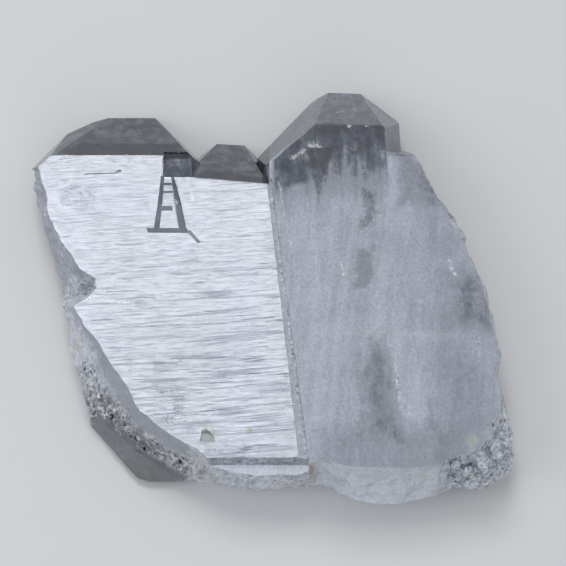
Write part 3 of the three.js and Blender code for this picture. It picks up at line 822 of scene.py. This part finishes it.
    def milkiness(self) -> object:
        """Masks where the quartz is milky and where it is clear.

        Returns:
            The mask socket, 1 where the quartz is milky; towards 0 the colour goes to the clear
            quartz's painted shade.
        """
        g = self.g
        waver = g.math("SUBTRACT", g.noise(self.mm, *ZONE_WAVER), 0.5)
        streaks = g.math("SUBTRACT", g.noise(self.mm, *FADE_STREAKS), 0.5)
        along = g.vector("DOT_PRODUCT", self.mm, (0.0, 1.0, 0.0), "Value")
        along = g.math("ADD", along, g.times(streaks, STREAK_LENGTH))
        milky = 1.0
        for zone in CLEAR_SHADED_ZONES:
            edge = g.times(waver, 2.0 * zone.ragged) if zone.ragged else None
            mask = g.inside(self.mm, zone.outline, zone.soft, edge)
            if zone.fade is not None:
                mask = g.times(mask, g.ramp(along, *zone.fade))
            milky = g.less(milky, g.times(mask, zone.depth))
        wisps = g.times(g.pattern(self.mm, WISPS), g.ramp(milky, *WISPS_BY_MILK))
        return g.math("ADD", milky, g.less(wisps, milky))

    def veil(self) -> object:
        """Varies the milkiness with soft streaks along the crystals and a fine mottle.

        Returns:
            The share of the milkiness that is left.
        """
        g = self.g
        along = g.times(g.pattern(self.mm, VEIL_STREAKS), g.pattern(self.mm, VEIL_MOTTLE))
        along = g.most(along, g.times(self.striated, self.look.striated_veil))
        return g.times(along, g.pattern(self.mm, VEIL_HAZE))

    def blotches(self) -> object:
        """Breaks the frost of the crushed quartz up into white and grey grains."""
        coarse = self.g.pattern(self.mm, COARSE_GRAINS)
        return self.g.times(coarse, self.g.pattern(self.mm, FINE_GRAINS))

    def grains(self) -> Tuple[object, object]:
        """Picks the dark gaps and the bright splinters of the crushed quartz.

        Returns:
            The masks of the gaps' painted shade and of the bright splinters, partly painted
            glints.
        """
        g = self.g
        picked = g.node("ShaderNodeSeparateColor")
        g.feed(picked.inputs["Color"], g.cells(self.mm, GRAIN_CELLS))
        # Dark gaps are painted shade; bright splinters are painted white, partly as glints.
        dark = g.ramp(picked.outputs["Red"], *GAP_SHADE)
        white = g.ramp(picked.outputs["Red"], *SPLINTERS_AND_GLINTS)
        return g.times(dark, self.glinting), g.times(white, self.glinting)

    def chips_and_glints(self) -> object:
        """Masks the bright chips along the seams.

        Returns:
            The mask socket; its white is partly painted glints.
        """
        g = self.g
        tossed = g.node("ShaderNodeTexNoise")
        g.feed(tossed.inputs["Vector"], self.flat)
        tossed.inputs["Scale"].default_value = SEAM_WAVES
        waver = g.vector("SUBTRACT", tossed.outputs["Color"], MIDDLE)
        place = g.vector("ADD", self.flat, g.scaled(waver, SEAM_WAVER))
        place = g.mapped(place, FLATTEN)
        masks = [
            g.times(g.near(place, seam.start, seam.end, seam.reach), seam.share)
            for seam in SEAMS
        ]
        return g.times(reduce(g.most, masks), g.pattern(self.mm, CHIP_GLINT_DOTS))

    def stained_and_shaded(self, colour: object) -> object:
        """Tints the stained spots and draws the faint thread.

        Args:
            colour: the colour so far.

        Returns:
            The tinted colour socket.
        """
        g = self.g
        ragged = g.pattern(self.mm, RAGGED_SPOT)
        # Each spot is a stain, but one: painted shade over the clear lump.
        for tint_spot in STAINS_AND_SHADE:
            spot = g.near(self.flat, tint_spot.middle, tint_spot.middle, tint_spot.reach)
            share = g.times(g.times(spot, ragged), tint_spot.share)
            colour = g.mix(share, colour, tint_spot.colour)
        thread = g.inside(self.mm, THREAD, THREAD_SOFT)
        return g.mix(g.times(thread, self.look.thread_share), colour, self.look.frost)

    def growth_lines_and_shade(self) -> object:
        """Masks the fine dark lines and dull patches of the striated face.

        Returns:
            The mask socket; the dark it gives the colour is painted shade where the ledges turn
            from the light.
        """
        g = self.g
        towards = g.vector("DOT_PRODUCT", self.mm, LINES_TOWARDS, "Value")
        lines = g.times(g.pattern(self.mm, FINE_LINES), g.pattern(self.mm, LINE_BUNDLES))
        lines = g.times(lines, g.ramp(towards, *LINES_STRENGTH))
        for quiet in (FAINT_LINES, DULL_PATCHES, UPRIGHT_LINES):
            lines = g.most(lines, g.pattern(self.mm, quiet))
        patches = [g.inside(self.mm, outline, FEATHERED_SOFT) for outline in FEATHERED]
        feathers = g.times(g.pattern(self.mm, FEATHERS), g.pattern(self.mm, FEATHER_GAPS))
        return g.most(lines, g.times(feathers, reduce(g.most, patches)))

    def relief(self, glint: object, lines: object) -> object:
        """Shapes the fine normal of the faces and flanks.

        Args:
            glint: mask of the crushed quartz that glints.
            lines: mask of the dark growth lines.

        Returns:
            The normal socket.
        """
        g = self.g
        normal = g.bump(g.times(lines, self.striated), LINE_BUMP)
        grain = g.times(g.noise(self.mm, *BROKEN_GRAIN), self.broken)
        normal = g.bump(grain, BROKEN_BUMP, normal)
        for size, lean in SPLINTERS:
            tilt = g.vector("SUBTRACT", g.cells(self.mm, size), MIDDLE)
            normal = g.vector("ADD", normal, g.scaled(tilt, g.times(glint, lean)))
        return g.vector("NORMALIZE", normal)


@dataclass(frozen=True)
class FloorFinish:
    """A plain pale studio floor."""

    colour: Colour = (0.44, 0.44, 0.45)
    roughness: float = 0.75

    def material(self) -> bpy.types.Material:
        """Makes the floor material.

        Returns:
            The material.
        """
        made = bpy.data.materials.new("pale_floor")
        made.use_nodes = True
        shader = made.node_tree.nodes["Principled BSDF"]
        shader.inputs["Base Color"].default_value = rgba(self.colour)
        shader.inputs["Roughness"].default_value = self.roughness
        return made


# ---------------------------------------------------------------- the cluster
@dataclass(frozen=True)
class Fracture:
    """How a broken surface looks: its crush in millimetres, the rest as shares."""

    crush: float
    frost: float
    glint: float
    smoke_and_shade: float

    def blend(self, other: "Fracture", share: float) -> "Fracture":
        """Mixes in a share of another fracture.

        Args:
            other: the other fracture.
            share: how much of it.

        Returns:
            The mixed fracture.
        """
        mine = (self.crush, self.frost, self.glint, self.smoke_and_shade)
        theirs = (other.crush, other.frost, other.glint, other.smoke_and_shade)
        return Fracture(*(a + share * (b - a) for a, b in zip(mine, theirs)))


@dataclass(frozen=True)
class Stretch:
    """A stretch of the broken flanks: an outline seen from above and a range of heights."""

    outline: Tuple[Place, ...]
    low: float
    high: float
    fracture: Fracture
    ragged: float = 0.6


PLAIN_FRACTURE = Fracture(0.12, 0.5, 0.5, 0.1)
WHOLE = Fracture(0.0, 0.0, 0.0, 0.0)
# The tower's and the step's smoke is painted shade: the recess and the ledge wall turn from the
# light.
FACE_FRACTURES = {
    Surface.CREASE: Fracture(0.0, 0.35, 0.15, 0.08),
    Surface.TOWER: Fracture(0.0, 0.0, 0.0, 0.66),
    Surface.STEP: Fracture(0.0, 0.15, 0.4, 0.3),
    Surface.EDGE: Fracture(0.0, 0.32, 0.15, 0.3),
}
EVERY_HEIGHT = (-5.0, 15.0)
STRETCHES = (
    # Left flank: crushed below, smooth and grey next to the face, whitish in the middle.
    Stretch(((-30.0, -30.0), (-3.0, -30.0), (-3.0, 16.0), (-30.0, 16.0)), 1.6, 5.6,
            Fracture(0.15, 0.75, 1.0, 0.15)),
    # Smoky quartz above the lump.
    Stretch(((-19.0, -15.4), (-12.0, -21.0), (-10.0, -18.6), (-16.6, -12.6)), 1.6, 5.2,
            Fracture(0.12, 0.35, 1.0, 0.45)),
    Stretch(((-30.0, -30.0), (-3.0, -30.0), (-3.0, -4.5), (-30.0, -4.5)), 5.3, 9.0,
            Fracture(0.035, 0.2, 0.08, 0.12), 0.4),
    Stretch(((-30.0, -10.0), (-16.0, -10.0), (-16.0, -4.8), (-30.0, -4.8)), 1.0, 6.2,
            Fracture(0.07, 0.9, 0.3, 0.0)),
    Stretch(((-30.0, -2.0), (-15.0, -2.0), (-15.0, 16.0), (-30.0, 16.0)), 2.6, 9.0,
            Fracture(0.06, 0.3, 0.15, 0.2)),
    Stretch(((-22.0, -4.6), (-16.2, -4.6), (-16.2, -0.8), (-22.0, -0.8)), 3.0, 9.0,
            Fracture(0.14, 1.0, 0.6, 0.0)),
    # Below the left crystal's ledge, the smooth bulge, the druse and the right rim.
    Stretch(((-7.0, -30.0), (5.4, -30.0), (5.4, -21.0), (-7.0, -21.0)), *EVERY_HEIGHT,
            Fracture(0.07, 1.0, 0.6, 0.0)),
    Stretch(((5.2, -30.0), (18.6, -30.0), (18.6, -20.0), (5.2, -20.0)), *EVERY_HEIGHT,
            Fracture(0.03, 0.9, 0.05, 0.0), 0.8),
    Stretch(((18.4, -30.0), (30.0, -30.0), (30.0, -15.5), (20.5, -15.5)), *EVERY_HEIGHT,
            Fracture(0.04, 0.9, 0.8, 0.0), 0.8),
    Stretch(((19.0, -15.0), (30.0, -15.0), (30.0, 20.0), (14.5, 20.0)), *EVERY_HEIGHT,
            Fracture(0.07, 0.9, 0.5, 0.0), 0.8),
    # Clear lump on the lower left corner, low down on the flank; its smoke darkens the clear
    # quartz as painted shade.
    Stretch(((-19.2, -15.6), (-12.6, -25.5), (-5.6, -25.5), (-8.2, -21.0), (-14.6, -15.4)),
            -5.0, 3.0, Fracture(0.03, 0.15, 0.1, 0.72), 0.3),
)


# Width in millimetres over which one stretch turns into the next, on either side.
STRETCH_EDGE = 0.35


@dataclass(frozen=True)
class Octave:
    """One octave of noise: waves per millimetre, its size, and where it starts."""

    waves: float
    size: float
    start: Point = (0.0, 0.0, 0.0)

    def place(self, at: Vector) -> Vector:
        """Returns where the noise is read for a point given in millimetres."""
        return at * self.waves + Vector(self.start)


CRUSH_OCTAVES = (Octave(0.55, 0.9), Octave(1.4, 1.0, (5, 0, 0)), Octave(3.4, 0.8, (0, 9, 0)))
STRETCH_OCTAVES = (Octave(0.8, 1.6, (0, 0, 4)), Octave(2.3, 1.0))


@dataclass(frozen=True)
class Swell:
    """A slow swell: waves across and along, which layer of noise, and its height."""

    across: float
    along: float
    layer: float
    height: float

    def at(self, across: float, along: float) -> float:
        """Returns the height of the swell at a place."""
        place = Vector((across * self.across, along * self.along, self.layer))
        return self.height * noise.noise(place)


# The first makes narrow facets along the milky crystal, the second bends its face.
MILKY_SWELLS = (Swell(1.7, 0.06, 3.0, 0.006), Swell(0.3, 0.22, 8.0, 0.03))
# Swell of the ledges' height, which is read once for each ledge.
LEDGE_SWELL = Swell(0.16, 1.0, 0.5, 2.2)
LEDGE_MEAN = 0.6


@dataclass
class QuartzCluster:
    """The grown plate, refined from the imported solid.

    Lengths are in millimetres. The fields that end in _normal bound how far a facet's
    normal points up, and step_normal how far it points along the crystal.
    """

    seed: int = 5
    weld: float = 0.003
    sliver: float = 0.0005
    grown_area: float = 2.5
    coplanar: float = 0.99995
    flank_facet: float = 0.5
    underside_facet: float = 1.3
    bevel: float = 0.055
    crease_angle: float = 9.0
    crease_length: float = 1.2
    # What tells the surfaces apart.
    level_normal: float = 0.9999
    flank_normal: float = 0.95
    milky_normal: float = 0.9
    step_normal: float = -0.5
    underside_normal: float = -0.4
    level_slack: float = 0.01
    face_slack: float = 0.02
    ledge_slack: float = 0.1
    flank_drop: float = 0.3
    flank_end: float = 9.0
    suture_strip: float = 1.15
    tower: Tuple[Place, ...] = ((-12.2, 2.0), (-5.4, 2.0), (-5.4, 10.9), (-12.2, 10.9))
    # Crushing of the flanks, and how alike the normals of one whole face are.
    crush_passes: int = 4
    same_face: float = 0.999
    # Ledges of the striated face, and the columns that vary their height.
    row_span: Span = (-24.5, 15.0)
    row_pitch: Span = (0.16, 0.55)
    row_lean: float = 3.5
    riser_run: float = 0.05
    riser_height: float = 0.014
    column_span: Span = (-26.0, 6.0)
    column_pitch: Span = (2.2, 5.2)
    column_slant: float = 0.1
    # Grid of the milky face across and along, and how far its middle is let down.
    milky_span: Span = (-2.0, 27.0)
    milky_pitch: Span = (0.35, 1.1)
    level_span: Span = (-26.0, 18.0)
    level_pitch: Span = (0.9, 1.9)
    level_slant: float = 0.05
    milky_rim: float = 1.2
    milky_dip: float = 0.025
    mesh: Optional[bmesh.types.BMesh] = field(default=None, repr=False)

    def build(self) -> bpy.types.Object:
        """Builds the refined mesh.

        Returns:
            The new object.
        """
        noise.seed_set(self.seed)
        bm = bmesh.new()
        bm.from_mesh(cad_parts[NODE].data)
        bmesh.ops.remove_doubles(bm, verts=bm.verts, dist=self.weld * MM)
        bmesh.ops.dissolve_degenerate(bm, edges=bm.edges, dist=self.weld * MM)
        bm.normal_update()
        bm.faces.layers.int.new("kind")
        self.mesh = bm
        self.sort_facets()
        self.bevel_creases()
        self.crush_flanks()
        self.cut_striations()
        self.cut_milky_face()
        self.keep_inside()
        self.drop_slivers()
        mesh = bpy.data.meshes.new("quartz_crystals")
        self.paint(mesh)
        piece = bpy.data.objects.new("quartz_crystals", mesh)
        bpy.context.scene.collection.objects.link(piece)
        return piece

    def dress(self, piece: bpy.types.Object) -> None:
        """Gives the piece its finish and its place in the frame.

        Args:
            piece: the refined cluster.
        """
        piece.data.materials.append(QuartzFinish().material())
        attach(piece, "root")
        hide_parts(NODE)

    # ------------------------------------------------------------ sorting
    def sort_facets(self) -> None:
        """Marks each facet with the kind of surface that it belongs to."""
        kind = self.mesh.faces.layers.int["kind"]
        for patch in self.flat_patches():
            area = sum(face.calc_area() for face in patch) / (MM * MM)
            for face in patch:
                face[kind] = self.kind_of(face, area)

    def kind_of(self, face: bmesh.types.BMFace, area: float) -> Surface:
        """Decides what a facet is.

        Args:
            face: the facet.
            area: area of the flat patch that it belongs to, in square millimetres.

        Returns:
            Its kind.
        """
        centre = face.calc_center_median() / MM
        lowest = min(vert.co.z for vert in face.verts) / MM
        highest = max(vert.co.z for vert in face.verts) / MM
        left = centre.x < suture_x(centre.y)
        shallow = lowest > FACE_HEIGHT - DEEPEST_RELIEF
        if left and shallow and highest < FACE_HEIGHT + self.face_slack:
            level = face.normal.z > self.level_normal and highest > FACE_HEIGHT - self.level_slack
            if level:
                return Surface.STRIATED
            if centre.x > suture_x(centre.y) - self.suture_strip:
                return Surface.CREASE
            in_tower = depth_inside((centre.x, centre.y), self.tower) > 0.0
            return Surface.TOWER if in_tower else Surface.STRIATED
        high = lowest > LEDGE_HEIGHT - self.ledge_slack
        if left and high and face.normal.y < self.step_normal:
            return Surface.STEP
        low = centre.y < self.flank_end and highest < FACE_HEIGHT - self.flank_drop
        flank = low and abs(face.normal.z) < self.flank_normal
        if flank or area < self.grown_area:
            return Surface.BROKEN
        if not left and face.normal.z > self.milky_normal:
            return Surface.MILKY
        return Surface.GROWN

    def flat_patches(self) -> List[List[bmesh.types.BMFace]]:
        """Sorts the facets into flat patches.

        Returns:
            Groups of facets that touch and share a plane.
        """
        seen: Set[bmesh.types.BMFace] = set()
        patches = []
        for start in self.mesh.faces:
            if start in seen:
                continue
            seen.add(start)
            patch = [start]
            for face in patch:
                for edge in face.edges:
                    for other in edge.link_faces:
                        if other not in seen and other.normal.dot(start.normal) > self.coplanar:
                            seen.add(other)
                            patch.append(other)
            patches.append(patch)
        return patches

    def facets(self, kind: Surface) -> List[bmesh.types.BMFace]:
        """Returns the facets of one kind."""
        layer = self.mesh.faces.layers.int["kind"]
        return [face for face in self.mesh.faces if face[layer] == kind]

    def bevel_creases(self) -> None:
        """Takes the sharp creases between the grown faces off by a hair's breadth."""
        layer = self.mesh.faces.layers.int["kind"]
        edges = []
        for edge in self.mesh.edges:
            kinds = {face[layer] for face in edge.link_faces}
            if len(edge.link_faces) != 2 or Surface.BROKEN in kinds or not edge.is_convex:
                continue
            sharp = math.degrees(edge.calc_face_angle(0.0)) > self.crease_angle
            if sharp and edge.calc_length() > self.crease_length * MM:
                edges.append(edge)
        made = bmesh.ops.bevel(
            self.mesh,
            geom=edges,
            offset=self.bevel * MM,
            offset_type="OFFSET",
            segments=1,
            profile=0.5,
            affect="EDGES",
            clamp_overlap=True,
            material=-1,
        )
        for face in made["faces"]:
            face[layer] = Surface.EDGE
        self.drop_slivers()
        LOG.info("bevelled %d creases", len(edges))

    # ------------------------------------------------------------ broken flanks
    def fracture_at(self, at: Vector) -> Fracture:
        """Finds how the quartz is broken at a point.

        Args:
            at: the point in millimetres.

        Returns:
            The fracture there.
        """
        found = PLAIN_FRACTURE
        waver = sum(octave.size * noise.noise(octave.place(at)) for octave in STRETCH_OCTAVES)
        for stretch in STRETCHES:
            inside = depth_inside((at.x, at.y), stretch.outline)
            inside = min(inside, at.z - stretch.low, stretch.high - at.z)
            inside += stretch.ragged * waver
            share = smooth_step(inside, -STRETCH_EDGE, STRETCH_EDGE)
            found = found.blend(stretch.fracture, share)
        return found

    def crush_flanks(self) -> None:
        """Breaks the flanks into small uneven facets."""
        for _ in range(self.crush_passes):
            edges = in_order(edge for face in self.facets(Surface.BROKEN) for edge in face.edges)
            long = [edge for edge in edges if edge.calc_length() > self.facet_size(edge) * MM]
            if not long:
                break
            bmesh.ops.subdivide_edges(self.mesh, edges=long, cuts=1)
            self.settle_order()
            wide = [face for face in self.facets(Surface.BROKEN) if len(face.verts) > 3]
            bmesh.ops.triangulate(self.mesh, faces=wide)
            self.settle_order()
        bm = self.mesh
        layer = bm.faces.layers.int["kind"]
        moves = []
        for vert in bm.verts:
            others = [face for face in vert.link_faces if face[layer] != Surface.BROKEN]
            if len(others) == len(vert.link_faces):
                continue
            shift = self.fracture(vert.co / MM)
            if others:
                plane = others[0].normal
                if any(face.normal.dot(plane) < self.same_face for face in others):
                    continue
                shift -= plane * shift.dot(plane)
            moves.append((vert, shift * MM))
        for vert, shift in moves:
            vert.co += shift
        bm.normal_update()

    def facet_size(self, edge: bmesh.types.BMEdge) -> float:
        """Returns how long an edge of the flank may be, in millimetres."""
        underside = all(face.normal.z < self.underside_normal for face in edge.link_faces)
        return self.underside_facet if underside else self.flank_facet

    def fracture(self, at: Vector) -> Vector:
        """Finds how far a point of the broken flank is moved.

        Args:
            at: the point in millimetres.

        Returns:
            The move in millimetres.
        """
        shift = Vector()
        for octave in CRUSH_OCTAVES:
            shift += noise.noise_vector(octave.place(at)) * octave.size
        return shift * self.fracture_at(at).crush

    # ------------------------------------------------------------ striated face
    def slice_faces(self, faces: List[bmesh.types.BMFace], point: Vector, normal: Vector) -> None:
        """Cuts some facets along a plane.

        Args:
            faces: the facets.
            point: a point on the plane, in millimetres.
            normal: the plane's normal.
        """
        edges = in_order(edge for face in faces for edge in face.edges)
        verts = in_order(vert for face in faces for vert in face.verts)
        bmesh.ops.bisect_plane(
            self.mesh,
            geom=faces + edges + verts,
            dist=self.sliver * MM,
            plane_co=point * MM,
            plane_no=normal,
        )

    def flat_face(self) -> List[bmesh.types.BMFace]:
        """Finds the level facets of the striated face.

        Returns:
            The facets, without those of its pockets.
        """
        lowest = (FACE_HEIGHT - self.level_slack) * MM
        return [
            face for face in self.facets(Surface.STRIATED)
            if face.normal.z > self.level_normal and face.calc_center_median().z > lowest
        ]

    def cut_striations(self) -> None:
        """Cuts the striated face into fine ledges that run across the crystal."""
        rng = random.Random(self.seed)
        lean = math.radians(self.row_lean)
        across = Vector((-math.sin(lean), math.cos(lean), 0.0))
        rows = spaced(rng, self.row_span, self.row_pitch)
        for row in rows:
            self.slice_faces(self.flat_face(), across * row, across)
            self.slice_faces(self.flat_face(), across * (row + self.riser_run), across)
        slanted = Vector((1, self.column_slant, 0))
        for column in spaced(rng, self.column_span, self.column_pitch):
            self.slice_faces(self.flat_face(), Vector((column, 0, 0)), slanted)
        level = set(self.flat_face())
        for vert in self.mesh.verts:
            if vert.link_faces and all(face in level for face in vert.link_faces):
                along = vert.co.dot(across) / MM
                vert.co.z -= self.ledge_depth(rows, along, vert.co.x / MM) * MM
        self.mesh.normal_update()

    def ledge_depth(self, rows: Sequence[float], along: float, x: float) -> float:
        """Returns how far a point lies below the highest ledge.

        Args:
            rows: where the ledges start.
            along: the point's distance along the crystal, in millimetres.
            x: its x in millimetres.

        Returns:
            The depth in millimetres.
        """
        index = max(0, sum(1 for row in rows if row < along + TOUCH) - 1)
        start = rows[index]
        end = rows[min(index + 1, len(rows) - 1)]
        height = self.riser_height * max(0.0, LEDGE_MEAN + LEDGE_SWELL.at(x, index))
        if along - start < 0.5 * self.riser_run or end <= start:
            return 0.0
        run = (along - start - self.riser_run) / max(end - start - self.riser_run, SHORTEST_LEDGE)
        return height * (1.0 - min(1.0, run))

    # ------------------------------------------------------------ milky face
    def cut_milky_face(self) -> None:
        """Gives the milky face faint facets along the crystal and a slow swell."""
        rng = random.Random(self.seed + 1)
        run = Vector((RIDGE_BOTTOM[0] - RIDGE_TOP[0], RIDGE_BOTTOM[1] - RIDGE_TOP[1], 0))
        axis = run.normalized()
        across = Vector((-axis.y, axis.x, 0))
        for at in spaced(rng, self.milky_span, self.milky_pitch):
            self.slice_faces(self.facets(Surface.MILKY), across * at, across)
        slanted = Vector((self.level_slant, 1, 0))
        for level in spaced(rng, self.level_span, self.level_pitch):
            self.slice_faces(self.facets(Surface.MILKY), Vector((0, level, 0)), slanted)
        self.mesh.normal_update()
        inner, rim = self.milky_points()
        for vert in inner:
            side = vert.co.dot(across) / MM
            along = vert.co.dot(axis) / MM
            dip = self.milky_dip
            for swell in MILKY_SWELLS:
                dip += swell.at(side, along)
            fade = smooth_step(rim.find(vert.co)[2] / MM, 0.0, self.milky_rim)
            vert.co.z -= fade * dip * MM

    def milky_points(self) -> Tuple[List[bmesh.types.BMVert], KDTree]:
        """Sorts the points of the milky face.

        Returns:
            The points inside the face, and a tree of those on its rim.
        """
        layer = self.mesh.faces.layers.int["kind"]
        inner = []
        rim = []
        for vert in self.mesh.verts:
            milky = [face[layer] == Surface.MILKY for face in vert.link_faces]
            if milky and all(milky):
                inner.append(vert)
            elif any(milky):
                rim.append(vert)
        tree = KDTree(len(rim))
        for index, vert in enumerate(rim):
            tree.insert(vert.co, index)
        tree.balance()
        return inner, tree

    # ------------------------------------------------------------ finishing
    def keep_inside(self) -> None:
        """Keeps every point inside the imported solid's box."""
        low, high = CAD_BOX
        for vert in self.mesh.verts:
            for axis in range(3):
                vert.co[axis] = min(max(vert.co[axis], low[axis]), high[axis])

    def drop_slivers(self) -> None:
        """Merges edges of no length and drops what they leave behind."""
        before = 0
        while before != len(self.mesh.faces):
            before = len(self.mesh.faces)
            bmesh.ops.dissolve_degenerate(self.mesh, edges=self.mesh.edges, dist=self.sliver * MM)
            self.settle_order()

    def settle_order(self) -> None:
        """Rebuilds the mesh in an order that depends only on where its points lie.

        Two facets with the same corners enclose nothing, so both are left out.
        """
        layer = self.mesh.faces.layers.int["kind"]
        points = sorted(self.mesh.verts, key=lambda vert: tuple(vert.co))
        for index, vert in enumerate(points):
            vert.index = index
        facets = {}
        for face in self.mesh.faces:
            corners = [vert.index for vert in face.verts]
            name = tuple(sorted(corners))
            if facets.pop(name, None) is None:
                first = corners.index(name[0])
                facets[name] = (corners[first:] + corners[:first], face[layer])
        settled = bmesh.new()
        verts = [settled.verts.new(vert.co) for vert in points]
        kind = settled.faces.layers.int.new("kind")
        for corners, value in sorted(facets.values()):
            settled.faces.new([verts[index] for index in corners])[kind] = value
        for vert in verts:
            if not vert.link_faces:
                settled.verts.remove(vert)
        self.mesh.free()
        self.mesh = settled
        settled.normal_update()

    def paint(self, mesh: bpy.types.Mesh) -> None:
        """Writes the mesh with its masks as two colour attributes.

        Args:
            mesh: the mesh to fill.
        """
        bm = self.mesh
        layer = bm.faces.layers.int["kind"]
        surface = bm.loops.layers.float_color.new("surface")
        broken = bm.loops.layers.float_color.new("fracture")
        for face in bm.faces:
            kind = Surface(face[layer])
            for loop in face.loops:
                loop[surface] = SURFACE_MASKS.get(kind, NO_MASK)
                loop[broken] = self.fracture_mask(kind, loop.vert.co / MM)
        bm.normal_update()
        bm.to_mesh(mesh)
        bm.free()

    def fracture_mask(self, kind: Surface, at: Vector) -> Tuple[float, float, float, float]:
        """Returns the frost, glint and smoke of a corner as a colour.

        Args:
            kind: the surface that the corner belongs to.
            at: its place in millimetres.

        Returns:
            Red for frost, green for glint, blue for smoke and painted shade.
        """
        if kind == Surface.BROKEN:
            found = self.fracture_at(at)
        else:
            found = FACE_FRACTURES.get(kind, WHOLE)
        return (found.frost, found.glint, found.smoke_and_shade, 1.0)


# ---------------------------------------------------------------- the studio
@dataclass(frozen=True)
class SoftBox:
    """One soft area light, placed by its middle and aimed at a point, in millimetres."""

    name: str
    middle: Point
    aim: Point
    width: float
    height: float
    radiance: float
    colour: Colour = (1.0, 1.0, 1.0)

    def place(self) -> None:
        """Adds the light to the scene."""
        data = bpy.data.lights.new(self.name, "AREA")
        data.shape = "RECTANGLE"
        data.size = self.width * MM
        data.size_y = self.height * MM
        data.color = self.colour
        data.energy = self.radiance * math.pi * data.size * data.size_y
        lamp = bpy.data.objects.new(self.name, data)
        lamp.location = Vector(self.middle) * MM
        away = (Vector(self.aim) - Vector(self.middle)).normalized()
        lamp.rotation_euler = away.to_track_quat("-Z", "Y").to_euler()
        bpy.context.scene.collection.objects.link(lamp)


@dataclass
class Studio:
    """Camera, floor, soft boxes and the pale surroundings.

    The camera's place and the soft boxes are in millimetres, the floor and the camera's
    clipping in metres.
    """

    camera_elevation: float = 62.0
    lens: float = 93.0
    camera_distance: float = 158.9
    camera_target: Point = (2.41, -0.536, 4.0)
    sensor: float = 36.0
    clip: Span = (0.005, 20.0)
    floor_reach: float = 3.0
    sky: Colour = (0.92, 0.96, 1.0)
    sky_top: float = 0.75
    horizon: float = 0.26
    overhead: float = 0.80
    soft_boxes: Tuple[SoftBox, ...] = (
        SoftBox("face_light", (-45.0, 205.0, 405.0), (-9.0, -3.0, 7.0), 180.0, 215.0, 8.0),
        SoftBox("fill_light", (-330.0, -120.0, 260.0), (0.0, 0.0, 5.0), 240.0, 240.0, 3.0),
        SoftBox("front_light", (40.0, -420.0, 210.0), (0.0, 0.0, 4.0), 300.0, 200.0, 3.8),
    )

    def build(self) -> None:
        """Builds the whole studio."""
        self.place_camera()
        self.place_floor()
        self.light_surroundings()
        for soft_box in self.soft_boxes:
            soft_box.place()
        bpy.context.scene.view_settings.view_transform = "Standard"

    def place_camera(self) -> None:
        """Adds the camera that looks down on the plate."""
        data = bpy.data.cameras.new("camera")
        data.lens = self.lens
        data.sensor_width = self.sensor
        data.clip_start, data.clip_end = self.clip
        camera = bpy.data.objects.new("camera", data)
        tilt = math.radians(self.camera_elevation)
        back = Vector((0.0, -math.cos(tilt), math.sin(tilt)))
        camera.location = (Vector(self.camera_target) + back * self.camera_distance) * MM
        camera.rotation_euler = (-back).to_track_quat("-Z", "Y").to_euler()
        bpy.context.scene.collection.objects.link(camera)
        bpy.context.scene.camera = camera

    def place_floor(self) -> None:
        """Adds the floor."""
        bm = bmesh.new()
        bmesh.ops.create_grid(bm, x_segments=1, y_segments=1, size=self.floor_reach)
        mesh = bpy.data.meshes.new("floor")
        bm.to_mesh(mesh)
        bm.free()
        floor = bpy.data.objects.new("floor", mesh)
        mesh.materials.append(FloorFinish().material())
        bpy.context.scene.collection.objects.link(floor)

    def light_surroundings(self) -> None:
        """Sets the soft light from all around, dim at the horizon and pale overhead."""
        world = bpy.data.worlds.new("surroundings")
        world.use_nodes = True
        g = Graph(world.node_tree)
        background = world.node_tree.nodes["Background"]
        background.inputs["Color"].default_value = rgba(self.sky)
        height = g.node("ShaderNodeSeparateXYZ")
        g.feed(height.inputs[0], g.node("ShaderNodeTexCoord").outputs["Generated"])
        glow = g.ramp(height.outputs["Z"], 0.0, self.sky_top, self.horizon, self.overhead)
        g.feed(background.inputs["Strength"], glow)
        bpy.context.scene.world = world


def main() -> None:
    """Builds the cluster and the studio, and notes the model's size."""
    logging.basicConfig(level=logging.INFO, format="%(name)s: %(message)s")
    cluster = QuartzCluster()
    piece = cluster.build()
    cluster.dress(piece)
    triangles = sum(len(facet.vertices) - 2 for facet in piece.data.polygons)
    LOG.info("%s: %d triangles", piece.name, triangles)
    studio = Studio()
    studio.build()
    LOG.info("studio: camera, floor and %d soft boxes", len(studio.soft_boxes))


if __name__ == "__main__":
    main()
